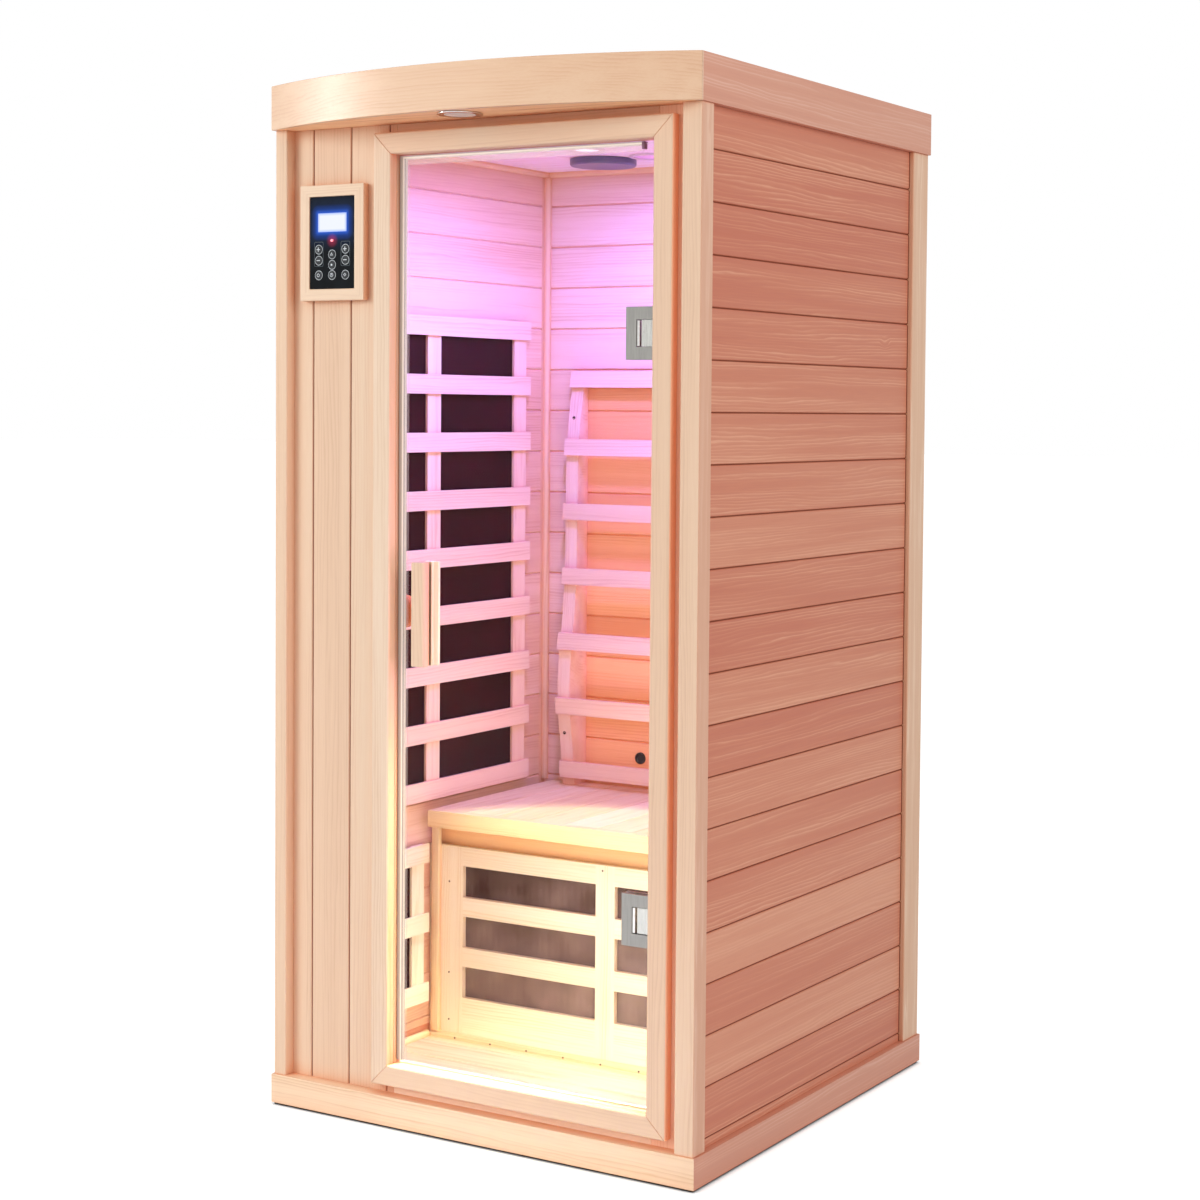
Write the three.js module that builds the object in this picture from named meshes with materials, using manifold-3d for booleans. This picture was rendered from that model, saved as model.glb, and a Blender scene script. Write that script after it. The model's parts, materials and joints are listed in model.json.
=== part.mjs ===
// One-person infrared sauna cabin: base, boarded walls, bowed roof, glass door, bench, heaters and controls.
// Millimetres. X runs to the right as seen from the front, Y to the back and Z up.
// The origin is the middle of the base, on the floor.
import * as THREE from "three";
import { mergeVertices } from "three/addons/utils/BufferGeometryUtils.js";
import Module from "manifold-3d";

const wasm = await Module();
wasm.setup();

// Overall sizes of the cabin.
const CABIN_WIDTH = 920;
const CABIN_DEPTH = 902;
const CABIN_HEIGHT = 1900;
const PLINTH_HEIGHT = 58;
const ROOF_HEIGHT = 81;
const FLOOR_THICKNESS = 36;

// The base ring's set-back foot, which leaves a dark line on the floor.
const TOE_HEIGHT = 4;
const TOE_RECESS = 4;

// Corner posts, which stand a little inside the base.
const POST_SETBACK = 4;
const POST_EASE = 1.5;
const FRONT_POST_LEFT_WIDTH = 27;
const FRONT_POST_RIGHT_WIDTH = 38;
const FRONT_POST_DEPTH = 40;
const REAR_POST_DEPTH = 66;

// Boarded walls, set back from the faces of the posts.
const WALL_THICKNESS = 25;
const SIDE_WALL_SETBACK = 9;
const FRONT_WALL_SETBACK = 22;
const BACK_WALL_SETBACK = 22;
const BOARD_PITCH = 88;
const TOP_BOARD = 73;
const FRONT_FIRST_BOARD = 45;
const LAST_BOARD_LEAST = 12;
const GROOVE_WIDTH = 5;
const GROOVE_DEPTH = 3.5;
const FLOOR_BOARD_PITCH = 90;

// Doorway, measured from the cabin's sides, the roof and the floor, with its mitred casing.
const DOORWAY_LEFT_MARGIN = 269;
const DOORWAY_RIGHT_MARGIN = 100;
const HEADER_HEIGHT = 55;
const DOORWAY_SILL = 114;
const CASING_WIDTH = 39;
const CASING_THICKNESS = 20;
const CASING_EASE = 2.5;

// Frameless glass door with a soft edge strip.
const GLASS_THICKNESS = 8;
const DOOR_SETBACK = 11;
const DOOR_GAP_LEFT = 5;
const DOOR_GAP_RIGHT = 8;
const DOOR_GAP_TOP = 5;
const DOOR_GAP_BOTTOM = 5;
const SEAL_WIDTH = 16;
const SEAL_LIP = 1.4;
const SEAL_PROUD = 3;
const SEAL_CLEARANCE = 0.3;
const SEAL_END_GAP = 30;

// Glass hinges: a clamp on the door that turns about a block on the jamb.
const HINGE_INSET = 325;
const HINGE_AXIS_INSET = 14;
const CLAMP_REACH = 49;
const CLAMP_TAIL = 8;
const CLAMP_HEIGHT = 90;
const CLAMP_PLATE = 7;
const CLAMP_NOTCH_REACH = 28;
const CLAMP_WEB = 6;
const CLAMP_WEB_HEIGHT = 68;
const BLOCK_REACH = 19;
const BLOCK_HEIGHT = 45;
const BLOCK_DEPTH = 18;
const PIN_RADIUS = 3.5;
const PIN_END_GAP = 2;
const HINGE_CLEARANCE = 0.3;
const HINGE_SIDE_GAP = 0.5;
const PIN_SIDES = 20;

// Wooden pull bars on both faces of the glass.
const HANDLE_HEIGHT = 188;
const HANDLE_WIDTH = 30;
const HANDLE_NECK = 18;
const HANDLE_NECK_DEPTH = 6;
const HANDLE_FLARE_DEPTH = 6;
const HANDLE_OUTER_DEPTH = 25;
const HANDLE_INNER_DEPTH = 20;
const HANDLE_EDGE_INSET = 57;
const HANDLE_EASE = 3;

// Half-round wooden stop behind the free edge of the door.
const STOP_HEIGHT = 60;
const STOP_OVERLAP = 23;
const STOP_SEAT = 30;
const STOP_THICKNESS = 18;
const STOP_STEPS = 16;

// Roof tray with a bowed front board.
const FASCIA_THICKNESS = 14;
const ROOF_FRONT_OVERHANG = 4;
const VISOR_DEPTH = 90;
const BOW_STEPS = 28;
const CEILING_THICKNESS = 12;
const COVER_THICKNESS = 8;
const COVER_DROP = 12;

// Lamp under the bow, lamp on the ceiling, and the power unit between ceiling and cover.
const VISOR_LAMP_RADIUS = 40;
const VISOR_LAMP_BODY_RADIUS = 30;
const VISOR_LAMP_FLANGE = 3;
const VISOR_LAMP_BODY_HEIGHT = 24;
const VISOR_LAMP_LENS_RADIUS = 28;
const VISOR_LAMP_LENS_DEPTH = 2;
const VISOR_LAMP_OFFSET = 41;
const LAMP_CLEARANCE = 0.5;
const CEILING_LAMP_RADIUS = 68;
const CEILING_LAMP_HEIGHT = 15;
const CEILING_LAMP_EASE = 3;
const CEILING_LAMP_FROM_LEFT = 257;
const CEILING_LAMP_FROM_BACK = 178;
const LAMP_SIDES = 40;
const POWER_UNIT_WIDTH = 220;
const POWER_UNIT_DEPTH = 160;
const POWER_UNIT_HEIGHT = 44;
const POWER_UNIT_FROM_BACK = 40;
const GLAND_RADIUS = 9;
const GLAND_CLEARANCE = 1;
const GLAND_TOP_DROP = 2;

// Bench: a boarded seat on a front rail and a back cleat, with a guarded calf heater below its front.
const SEAT_HEIGHT = 504;
const SEAT_THICKNESS = 34;
const SEAT_DEPTH = 455;
const SEAT_SIDE_GAP = 27;
const SEAT_EASE = 3;
const SEAT_BOARD_PITCH = 79;
const SEAT_GROOVE_WIDTH = 3;
const SEAT_GROOVE_DEPTH = 2.5;
const SEAT_LIP = 18;
const CALF_SETBACK = 45;
const CALF_GUARD_THICKNESS = 12;
const CALF_GUARD_DROP = 43;
const CALF_RAIL = 39;
const CALF_WINDOW = 63;
const CALF_ROWS = 3;
const CALF_END_STILE = 82;
const CALF_MID_STILE = 44;
const CALF_HEATER_MARGIN = 16;
const EMITTER_THICKNESS = 6;
const BENCH_RAIL_THICKNESS = 18;
const BENCH_RAIL_HEIGHT = 70;
const BENCH_CLEAT_DEPTH = 22;
const BENCH_CLEAT_HEIGHT = 30;

// Slatted backrest with a lumbar swell and a head end that leans back.
const BACKREST_WIDTH = 686;
const BACKREST_HEIGHT = 887;
const BACKREST_STANDOFF = 51;
const STRINGER_WIDTH = 30;
const SLAT_HEIGHT = 35;
const SLAT_THICKNESS = 12;
const SLAT_FIRST = 17;
const SLAT_PITCH = 138;
const SLAT_COUNT = 6;
const SLAT_BITE = 1;
const LUMBAR_DEPTH = 27;
const LUMBAR_HEIGHT = 211;
const LUMBAR_SPREAD = 110;
const HEAD_LEAN = 30;
const HEAD_LEAN_START = 646;
const STRINGER_STEPS = 26;

// Side heaters: a thin emitter panel on the wall behind a wooden guard of rails on stiles.
const GUARD_RAIL = 39;
const GUARD_RAIL_THICKNESS = 6;
const GUARD_STILE_THICKNESS = 5;
const GUARD_BITE = 1;
const EMITTER_INSET = 6;
const SIDE_GUARD_LIFT = 15;
const SIDE_GUARD_PITCH = 117;
const SIDE_GUARD_RAILS = 9;
const SIDE_GUARD_STILE = 44;
const SIDE_GUARD_STILES = 3;
const SIDE_GUARD_FRONT_MARGIN = 55;
const SIDE_GUARD_BACK_MARGIN = 83;
const GUARD_OVERRUN = 11;
const LEG_GUARD_LIFT = 75;
const LEG_GUARD_PITCH = 141;
const LEG_GUARD_RAILS = 3;
const LEG_GUARD_STILE = 40;
const LEG_GUARD_STILES = 2;
const LEG_GUARD_FRONT_MARGIN = 17;
const LEG_GUARD_BACK_MARGIN = 24;

// Control unit on the front boards: a wooden surround, a dark panel, a display and round keys.
const CONTROL_DROP = 209;
const SURROUND_WIDTH = 148;
const SURROUND_HEIGHT = 211;
const SURROUND_THICKNESS = 15;
const PANEL_WIDTH = 104;
const PANEL_HEIGHT = 168;
const PANEL_THICKNESS = 13;
const PANEL_CLEARANCE = 0.3;
const DISPLAY_WIDTH = 66;
const DISPLAY_HEIGHT = 34;
const DISPLAY_THICKNESS = 2;
const DISPLAY_RISE = 37;
const DISPLAY_CLEARANCE = 0.3;
const KEY_RADIUS = 7.5;
const KEY_HEIGHT = 7;
const KEY_PROUD = 1.6;
const KEY_TRAVEL = 0.8;
const KEY_STOP_GAP = 0.2;
const KEY_CLEARANCE = 0.3;
const KEY_EASE = 0.6;
const KEY_SIDES = 24;
const KEY_COLUMN = 31;
const KEY_ROWS_OUTER = [-12, -32, -59];
const KEY_ROWS_MIDDLE = [-21.5, -40.5, -59];

// How far a cutting body runs past the face that it cuts, and how near corners count as one.
const CUT_PAST = 2;
const CORNER_MERGE = 1e-4;

// Planes that several pieces share.
const halfWidth = CABIN_WIDTH / 2;
const halfDepth = CABIN_DEPTH / 2;
const postSide = halfWidth - POST_SETBACK;
const postFace = halfDepth - POST_SETBACK;
const sideOuter = postSide - SIDE_WALL_SETBACK;
const sideInner = sideOuter - WALL_THICKNESS;
const frontOuter = -postFace + FRONT_WALL_SETBACK;
const frontInner = -postFace + FRONT_POST_DEPTH;
const backOuter = postFace - BACK_WALL_SETBACK;
const backInner = backOuter - WALL_THICKNESS;
const rearPostFront = postFace - REAR_POST_DEPTH;
const leftPostInner = -postSide + FRONT_POST_LEFT_WIDTH;
const rightPostInner = postSide - FRONT_POST_RIGHT_WIDTH;
const wallBase = PLINTH_HEIGHT;
const wallTop = CABIN_HEIGHT - ROOF_HEIGHT;
const floorTop = FLOOR_THICKNESS;
const doorwayLeft = -halfWidth + DOORWAY_LEFT_MARGIN;
const doorwayRight = halfWidth - DOORWAY_RIGHT_MARGIN;
const doorwayTop = wallTop - HEADER_HEIGHT;
const doorwayBottom = DOORWAY_SILL;
const doorwayMiddle = (doorwayTop + doorwayBottom) / 2;
const casingFront = frontOuter - CASING_THICKNESS;
const doorPlane = frontOuter + DOOR_SETBACK;
const glassFront = doorPlane - GLASS_THICKNESS / 2;
const glassBack = doorPlane + GLASS_THICKNESS / 2;
const glassLeft = doorwayLeft + DOOR_GAP_LEFT;
const glassRight = doorwayRight - DOOR_GAP_RIGHT;
const glassTop = doorwayTop - DOOR_GAP_TOP;
const glassBottom = doorwayBottom + DOOR_GAP_BOTTOM;
const hingeAxis = doorwayRight - HINGE_AXIS_INSET;
const hingeHeights = { top: doorwayTop - HINGE_INSET, bottom: doorwayBottom + HINGE_INSET };
const roofInnerSide = halfWidth - FASCIA_THICKNESS;
const roofInnerBack = halfDepth - FASCIA_THICKNESS;
const roofFront = -halfDepth - ROOF_FRONT_OVERHANG;
const ceilingTop = wallTop + CEILING_THICKNESS;
const coverTop = CABIN_HEIGHT - COVER_DROP;
const coverUnderside = coverTop - COVER_THICKNESS;
const seatFront = backInner - SEAT_DEPTH;
const seatUnderside = SEAT_HEIGHT - SEAT_THICKNESS;
const calfFront = seatFront + CALF_SETBACK;
const calfBack = calfFront + CALF_GUARD_THICKNESS;
const calfTop = seatUnderside - CALF_GUARD_DROP;
const calfWindowEnd = sideInner - CALF_END_STILE;
const calfHeaterBack = calfBack + EMITTER_THICKNESS;

// Finishes, one material for each piece.
const HEMLOCK = { color: 0xe8cdae, roughness: 0.6, metalness: 0 };
const HEMLOCK_SHADED = { color: 0xd39a7c, roughness: 0.62, metalness: 0 };
const HEMLOCK_SEAT = { color: 0xe3bd94, roughness: 0.58, metalness: 0 };
const CARBON = { color: 0x2a1c20, roughness: 0.35, metalness: 0.1 };
const GLASS = { color: 0xe6eceb, roughness: 0.05, metalness: 0, transparent: true, opacity: 0.25 };
const SEAL = { color: 0xc9c6bd, roughness: 0.5, metalness: 0 };
const SATIN_STEEL = { color: 0x9a9a98, roughness: 0.35, metalness: 0.9 };
const LAMP_TRIM = { color: 0xd8d6d2, roughness: 0.25, metalness: 0.8 };
const LAMP_LENS = { color: 0x8f7ec0, roughness: 0.3, metalness: 0 };
const PANEL_BLACK = { color: 0x15161a, roughness: 0.3, metalness: 0 };
const DISPLAY_BLUE = { color: 0x2f4fb0, roughness: 0.2, metalness: 0 };
const KEY_GREY = { color: 0x4a4d55, roughness: 0.45, metalness: 0 };
const COVER_BOARD = { color: 0x9e8c78, roughness: 0.75, metalness: 0 };
const UNIT_GREY = { color: 0x6b6e70, roughness: 0.55, metalness: 0.2 };

const cabin = new THREE.Group();

function group(parent) {
  const made = new THREE.Group();
  parent.add(made);
  return made;
}

function addMesh(parent, name, finish, geometry) {
  const mesh = new THREE.Mesh(geometry, new THREE.MeshStandardMaterial(finish));
  mesh.name = name;
  parent.add(mesh);
  return mesh;
}

// Geometry as a solid body, and back.
function toSolid(geometry) {
  const bare = geometry.clone();
  bare.deleteAttribute("normal");
  bare.deleteAttribute("uv");
  const merged = mergeVertices(bare, CORNER_MERGE);
  const vertProperties = new Float32Array(merged.attributes.position.array);
  const triVerts = new Uint32Array(merged.index.array);
  return new wasm.Manifold(new wasm.Mesh({ numProp: 3, vertProperties, triVerts }));
}

function toGeometry(solid) {
  const mesh = solid.getMesh();
  const geometry = new THREE.BufferGeometry();
  geometry.setAttribute("position", new THREE.BufferAttribute(mesh.vertProperties, 3));
  geometry.setIndex(new THREE.BufferAttribute(mesh.triVerts, 1));
  geometry.computeVertexNormals();
  return geometry;
}

function join(...geometries) {
  return toGeometry(geometries.map(toSolid).reduce((sum, solid) => sum.add(solid)));
}

function cut(geometry, ...tools) {
  return toGeometry(tools.map(toSolid).reduce((rest, tool) => rest.subtract(tool), toSolid(geometry)));
}

// Turns every triangle round where the body's faces point inwards.
function facingOut(geometry) {
  const flat = geometry.index ? geometry.toNonIndexed() : geometry;
  const place = flat.attributes.position;
  const [first, second, third] = [new THREE.Vector3(), new THREE.Vector3(), new THREE.Vector3()];
  let volume = 0;
  for (let i = 0; i < place.count; i += 3) {
    first.fromBufferAttribute(place, i);
    second.fromBufferAttribute(place, i + 1);
    third.fromBufferAttribute(place, i + 2);
    volume += first.dot(second.cross(third));
  }
  if (volume > 0) return flat;
  for (let i = 0; i < place.count; i += 3) {
    first.fromBufferAttribute(place, i);
    second.fromBufferAttribute(place, i + 1);
    place.setXYZ(i, second.x, second.y, second.z);
    place.setXYZ(i + 1, first.x, first.y, first.z);
  }
  flat.computeVertexNormals();
  return flat;
}

// Extrudes an outline, with holes, and puts each point where place(u, v, end) says, end being 0 or 1.
function extruded(outline, place, holes = []) {
  const shape = new THREE.Shape(outline.map(([u, v]) => new THREE.Vector2(u, v)));
  for (const hole of holes) {
    shape.holes.push(new THREE.Path(hole.map(([u, v]) => new THREE.Vector2(u, v))));
  }
  const geometry = new THREE.ExtrudeGeometry(shape, { depth: 1, steps: 1, bevelEnabled: false });
  const points = geometry.attributes.position;
  for (let i = 0; i < points.count; i += 1) {
    points.setXYZ(i, ...place(points.getX(i), points.getY(i), Math.round(points.getZ(i))));
  }
  geometry.computeVertexNormals();
  return facingOut(geometry);
}

// Straight prisms: the outline lies across the axis in the name, between two planes.
function prismX(outline, x0, x1, holes) {
  return extruded(outline, (y, z, end) => [end ? x1 : x0, y, z], holes);
}

function prismY(outline, y0, y1, holes) {
  return extruded(outline, (x, z, end) => [x, end ? y1 : y0, z], holes);
}

function prismZ(outline, z0, z1, holes) {
  return extruded(outline, (x, y, end) => [x, y, end ? z1 : z0], holes);
}

function rectangle(u0, u1, v0, v1) {
  return [[u0, v0], [u1, v0], [u1, v1], [u0, v1]];
}

// A rectangle with its four corners cut off.
function easedRectangle(u0, u1, v0, v1, ease) {
  return [
    [u0 + ease, v0], [u1 - ease, v0], [u1, v0 + ease], [u1, v1 - ease],
    [u1 - ease, v1], [u0 + ease, v1], [u0, v1 - ease], [u0, v0 + ease],
  ];
}

function box(x0, x1, y0, y1, z0, z1) {
  return prismZ(rectangle(x0, x1, y0, y1), z0, z1);
}

function circle(cx, cy, radius, sides) {
  const points = [];
  for (let i = 0; i < sides; i += 1) {
    const angle = (2 * Math.PI * i) / sides;
    points.push([cx + radius * Math.cos(angle), cy + radius * Math.sin(angle)]);
  }
  return points;
}

// A turned body: pairs of radius and height, from the axis at one end to the axis at the other.
function turned(profile, sides) {
  const points = profile.map(([radius, height]) => new THREE.Vector2(radius, height));
  const lathe = new THREE.LatheGeometry(points, sides).rotateX(Math.PI / 2);
  return toGeometry(toSolid(facingOut(lathe)));
}

// Section of a board wall: V grooves on both faces at the given heights.
function groovedSection(face0, face1, low, high, grooves, width, depth) {
  const inward = Math.sign(face1 - face0);
  const up = [...grooves].sort((a, b) => a - b);
  const first = up.flatMap((at) => [
    [face0, at - width / 2],
    [face0 + inward * depth, at],
    [face0, at + width / 2],
  ]);
  const second = up.reverse().flatMap((at) => [
    [face1, at + width / 2],
    [face1 - inward * depth, at],
    [face1, at - width / 2],
  ]);
  return [[face0, low], ...first, [face0, high], [face1, high], ...second, [face1, low]];
}

// Groove places stepped off from a start, as long as a board of the least width is left.
function boardJoints(start, pitch, end) {
  const joints = [];
  const step = Math.sign(end - start) * pitch;
  for (let at = start; (end - at) * Math.sign(step) > LAST_BOARD_LEAST; at += step) joints.push(at);
  return joints;
}

const swapped = (outline) => outline.map(([u, v]) => [v, u]);

function buildBase() {
  const base = group(cabin);
  const hole = rectangle(-sideInner, sideInner, frontInner, backInner);
  const toeX = halfWidth - TOE_RECESS;
  const toeY = halfDepth - TOE_RECESS;
  const toe = prismZ(rectangle(-toeX, toeX, -toeY, toeY), 0, TOE_HEIGHT, [hole]);
  const ring = rectangle(-halfWidth, halfWidth, -halfDepth, halfDepth);
  const plinth = prismZ(ring, TOE_HEIGHT, PLINTH_HEIGHT, [hole]);
  addMesh(base, "base_plinth", HEMLOCK, join(plinth, toe));

  const joints = boardJoints(frontInner + FLOOR_BOARD_PITCH, FLOOR_BOARD_PITCH, backInner);
  const top = joints.flatMap((at) => [
    [at - GROOVE_WIDTH / 2, floorTop],
    [at, floorTop - GROOVE_DEPTH],
    [at + GROOVE_WIDTH / 2, floorTop],
  ]);
  const section = [[frontInner, 0], [frontInner, floorTop], ...top, [backInner, floorTop], [backInner, 0]];
  addMesh(base, "floor_panel", HEMLOCK_SEAT, prismX(section, -sideInner, sideInner));
}

function buildPosts() {
  const posts = group(cabin);
  const addPost = (name, x0, x1, y0, y1) => {
    addMesh(posts, name, HEMLOCK, prismZ(easedRectangle(x0, x1, y0, y1, POST_EASE), wallBase, wallTop));
  };
  addPost("post_front_left", -postSide, leftPostInner, -postFace, frontInner);
  addPost("post_front_right", rightPostInner, postSide, -postFace, frontInner);
  addPost("post_rear_left", -postSide, -sideInner, rearPostFront, postFace);
  addPost("post_rear_right", sideInner, postSide, rearPostFront, postFace);
}

function buildWalls() {
  const walls = group(cabin);
  const joints = boardJoints(wallTop - TOP_BOARD, BOARD_PITCH, wallBase);
  const section = (outer, inner) =>
    groovedSection(outer, inner, wallBase, wallTop, joints, GROOVE_WIDTH, GROOVE_DEPTH);
  for (const [name, side] of [["wall_left", -1], ["wall_right", 1]]) {
    const boards = prismY(section(side * sideOuter, side * sideInner), frontInner, rearPostFront);
    addMesh(walls, name, HEMLOCK_SHADED, boards);
  }
  addMesh(walls, "wall_back", HEMLOCK_SHADED, prismX(section(backOuter, backInner), -sideInner, sideInner));
}

function buildFront() {
  const front = group(cabin);
  const joints = boardJoints(leftPostInner + FRONT_FIRST_BOARD, BOARD_PITCH, doorwayLeft);
  const field = groovedSection(
    frontOuter, frontInner, leftPostInner, doorwayLeft, joints, GROOVE_WIDTH, GROOVE_DEPTH,
  );
  addMesh(front, "front_boards", HEMLOCK, prismZ(swapped(field), wallBase, wallTop));
  const addBoard = (name, x0, x1, z0, z1) => {
    addMesh(front, name, HEMLOCK, box(x0, x1, frontOuter, frontInner, z0, z1));
  };
  addBoard("front_stile", doorwayRight, rightPostInner, wallBase, wallTop);
  addBoard("front_header", doorwayLeft, doorwayRight, doorwayTop, wallTop);
  addBoard("front_sill", doorwayLeft, doorwayRight, wallBase, doorwayBottom);
}

// Mitred casing: t runs across each board from the doorway's edge outwards.
function buildCasing() {
  const casing = group(cabin);
  const section = [
    [0, frontOuter],
    [0, casingFront + CASING_EASE],
    [CASING_EASE, casingFront],
    [CASING_WIDTH - CASING_EASE, casingFront],
    [CASING_WIDTH, casingFront + CASING_EASE],
    [CASING_WIDTH, frontOuter],
  ];
  const upright = (edge, outward) => (t, y, end) =>
    [edge + outward * t, y, end ? doorwayTop + t : doorwayBottom - t];
  const level = (edge, outward) => (t, y, end) =>
    [end ? doorwayRight + t : doorwayLeft - t, y, edge + outward * t];
  addMesh(casing, "casing_left", HEMLOCK, extruded(section, upright(doorwayLeft, -1)));
  addMesh(casing, "casing_right", HEMLOCK, extruded(section, upright(doorwayRight, 1)));
  addMesh(casing, "casing_top", HEMLOCK, extruded(section, level(doorwayTop, 1)));
  addMesh(casing, "casing_bottom", HEMLOCK, extruded(section, level(doorwayBottom, -1)));
}

// Glass pane, notched on its hinge edge for the webs of the two clamps.
function buildGlass(door) {
  const notchLeft = hingeAxis - CLAMP_NOTCH_REACH - CLAMP_WEB;
  const notch = (z) => [
    [glassRight, z - CLAMP_WEB_HEIGHT / 2],
    [notchLeft, z - CLAMP_WEB_HEIGHT / 2],
    [notchLeft, z + CLAMP_WEB_HEIGHT / 2],
    [glassRight, z + CLAMP_WEB_HEIGHT / 2],
  ];
  const outline = [
    [glassLeft, glassBottom],
    [glassRight, glassBottom],
    ...notch(hingeHeights.bottom),
    ...notch(hingeHeights.top),
    [glassRight, glassTop],
    [glassLeft, glassTop],
  ];
  addMesh(door, "door_glass", GLASS, prismY(outline, glassFront, glassBack));
}

// Channel strip over the free edge and the top edge of the glass, which stops short of the hinge edge.
function buildSeal(door) {
  const left = glassLeft - SEAL_PROUD;
  const top = glassTop + SEAL_PROUD;
  const right = glassRight - SEAL_END_GAP;
  const outline = [
    [left, glassBottom],
    [left + SEAL_WIDTH, glassBottom],
    [left + SEAL_WIDTH, top - SEAL_WIDTH],
    [right, top - SEAL_WIDTH],
    [right, top],
    [left, top],
  ];
  const strip = prismY(outline, glassFront - SEAL_LIP, glassBack + SEAL_LIP);
  const pane = box(
    glassLeft - SEAL_CLEARANCE, glassRight + CUT_PAST,
    glassFront - SEAL_CLEARANCE, glassBack + SEAL_CLEARANCE,
    glassBottom - CUT_PAST, glassTop + SEAL_CLEARANCE,
  );
  addMesh(door, "door_seal", SEAL, cut(strip, pane));
}

// Two plates joined by a web in the notch of the glass, round the hinge axis at local X = Y = 0.
function clampGeometry() {
  const halfHeight = CLAMP_HEIGHT / 2;
  const halfDeep = GLASS_THICKNESS / 2 + CLAMP_PLATE;
  const paneHalf = GLASS_THICKNESS / 2 + HINGE_CLEARANCE;
  const webLeft = -CLAMP_NOTCH_REACH - CLAMP_WEB + HINGE_CLEARANCE;
  const webHalf = CLAMP_WEB_HEIGHT / 2 - HINGE_CLEARANCE;
  const slotHalf = BLOCK_HEIGHT / 2 + HINGE_SIDE_GAP;
  const pastX = CLAMP_TAIL + CUT_PAST;
  const body = box(-CLAMP_REACH, CLAMP_TAIL, -halfDeep, halfDeep, -halfHeight, halfHeight);
  const slot = box(
    -CLAMP_NOTCH_REACH, pastX, -halfDeep - CUT_PAST, halfDeep + CUT_PAST, -slotHalf, slotHalf,
  );
  const paneCut = (x0, x1, z0, z1) => box(x0, x1, -paneHalf, paneHalf, z0, z1);
  const pastLeft = -CLAMP_REACH - CUT_PAST;
  const pastHeight = halfHeight + CUT_PAST;
  const hole = circle(0, 0, PIN_RADIUS + HINGE_CLEARANCE, PIN_SIDES);
  return cut(
    body,
    slot,
    paneCut(pastLeft, webLeft, -pastHeight, pastHeight),
    paneCut(pastLeft, pastX, webHalf, pastHeight),
    paneCut(pastLeft, pastX, -pastHeight, -webHalf),
    prismZ(hole, -webHalf, webHalf),
  );
}

// Jamb block with the pin that the clamp turns on.
function blockGeometry() {
  const jamb = HINGE_AXIS_INSET - HINGE_CLEARANCE;
  const pinEnd = CLAMP_WEB_HEIGHT / 2 - PIN_END_GAP;
  const halfDeep = BLOCK_DEPTH / 2;
  const halfHeight = BLOCK_HEIGHT / 2;
  const body = box(-BLOCK_REACH, jamb, -halfDeep, halfDeep, -halfHeight, halfHeight);
  return join(body, prismZ(circle(0, 0, PIN_RADIUS, PIN_SIDES), -pinEnd, pinEnd));
}

function buildHinges(door, jambs) {
  for (const [end, z] of Object.entries(hingeHeights)) {
    addMesh(door, `hinge_clamp_${end}`, SATIN_STEEL, clampGeometry()).position.set(hingeAxis, doorPlane, z);
    addMesh(jambs, `hinge_block_${end}`, SATIN_STEEL, blockGeometry()).position.set(hingeAxis, doorPlane, z);
  }
}

// A pull bar: a neck on the glass that flares to a full-width grip.
function buildHandles(door) {
  const middle = glassLeft + HANDLE_EDGE_INSET;
  const half = HANDLE_WIDTH / 2;
  const neck = HANDLE_NECK / 2;
  const flareEnd = HANDLE_NECK_DEPTH + HANDLE_FLARE_DEPTH;
  const bar = (face, outward, depth) => {
    const right = [
      [neck, 0],
      [neck, HANDLE_NECK_DEPTH],
      [half, flareEnd],
      [half, depth - HANDLE_EASE],
      [half - HANDLE_EASE, depth],
    ];
    const left = right.map(([x, y]) => [-x, y]).reverse();
    const section = [...right, ...left].map(([x, y]) => [middle + x, face + outward * y]);
    return prismZ(section, doorwayMiddle - HANDLE_HEIGHT / 2, doorwayMiddle + HANDLE_HEIGHT / 2);
  };
  addMesh(door, "handle_outer", HEMLOCK_SEAT, bar(glassFront, -1, HANDLE_OUTER_DEPTH));
  addMesh(door, "handle_inner", HEMLOCK_SEAT, bar(glassBack, 1, HANDLE_INNER_DEPTH));
}

function buildDoorStop() {
  const outline = [[doorwayLeft - STOP_SEAT, doorwayMiddle - STOP_HEIGHT / 2]];
  for (let i = 0; i <= STOP_STEPS; i += 1) {
    const angle = -Math.PI / 2 + (Math.PI * i) / STOP_STEPS;
    const x = doorwayLeft + STOP_OVERLAP * Math.cos(angle);
    outline.push([x, doorwayMiddle + (STOP_HEIGHT / 2) * Math.sin(angle)]);
  }
  outline.push([doorwayLeft - STOP_SEAT, doorwayMiddle + STOP_HEIGHT / 2]);
  addMesh(cabin, "door_stop", HEMLOCK_SEAT, prismY(outline, frontInner, frontInner + STOP_THICKNESS));
}

function buildDoor() {
  const door = group(cabin);
  const jambs = group(cabin);
  buildGlass(door);
  buildSeal(door);
  buildHinges(door, jambs);
  buildHandles(door);
  buildDoorStop();
}

// Points of an arc from left to right through (+-half, start), bowed to the front by the given rise.
function bowPoints(half, start, rise) {
  const radius = (half * half + rise * rise) / (2 * rise);
  const spread = Math.asin(half / radius);
  const points = [];
  for (let i = 1; i < BOW_STEPS; i += 1) {
    const angle = -spread + (2 * spread * i) / BOW_STEPS;
    points.push([radius * Math.sin(angle), start - rise + radius * (1 - Math.cos(angle))]);
  }
  return [[-half, start], ...points, [half, start]];
}

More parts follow.
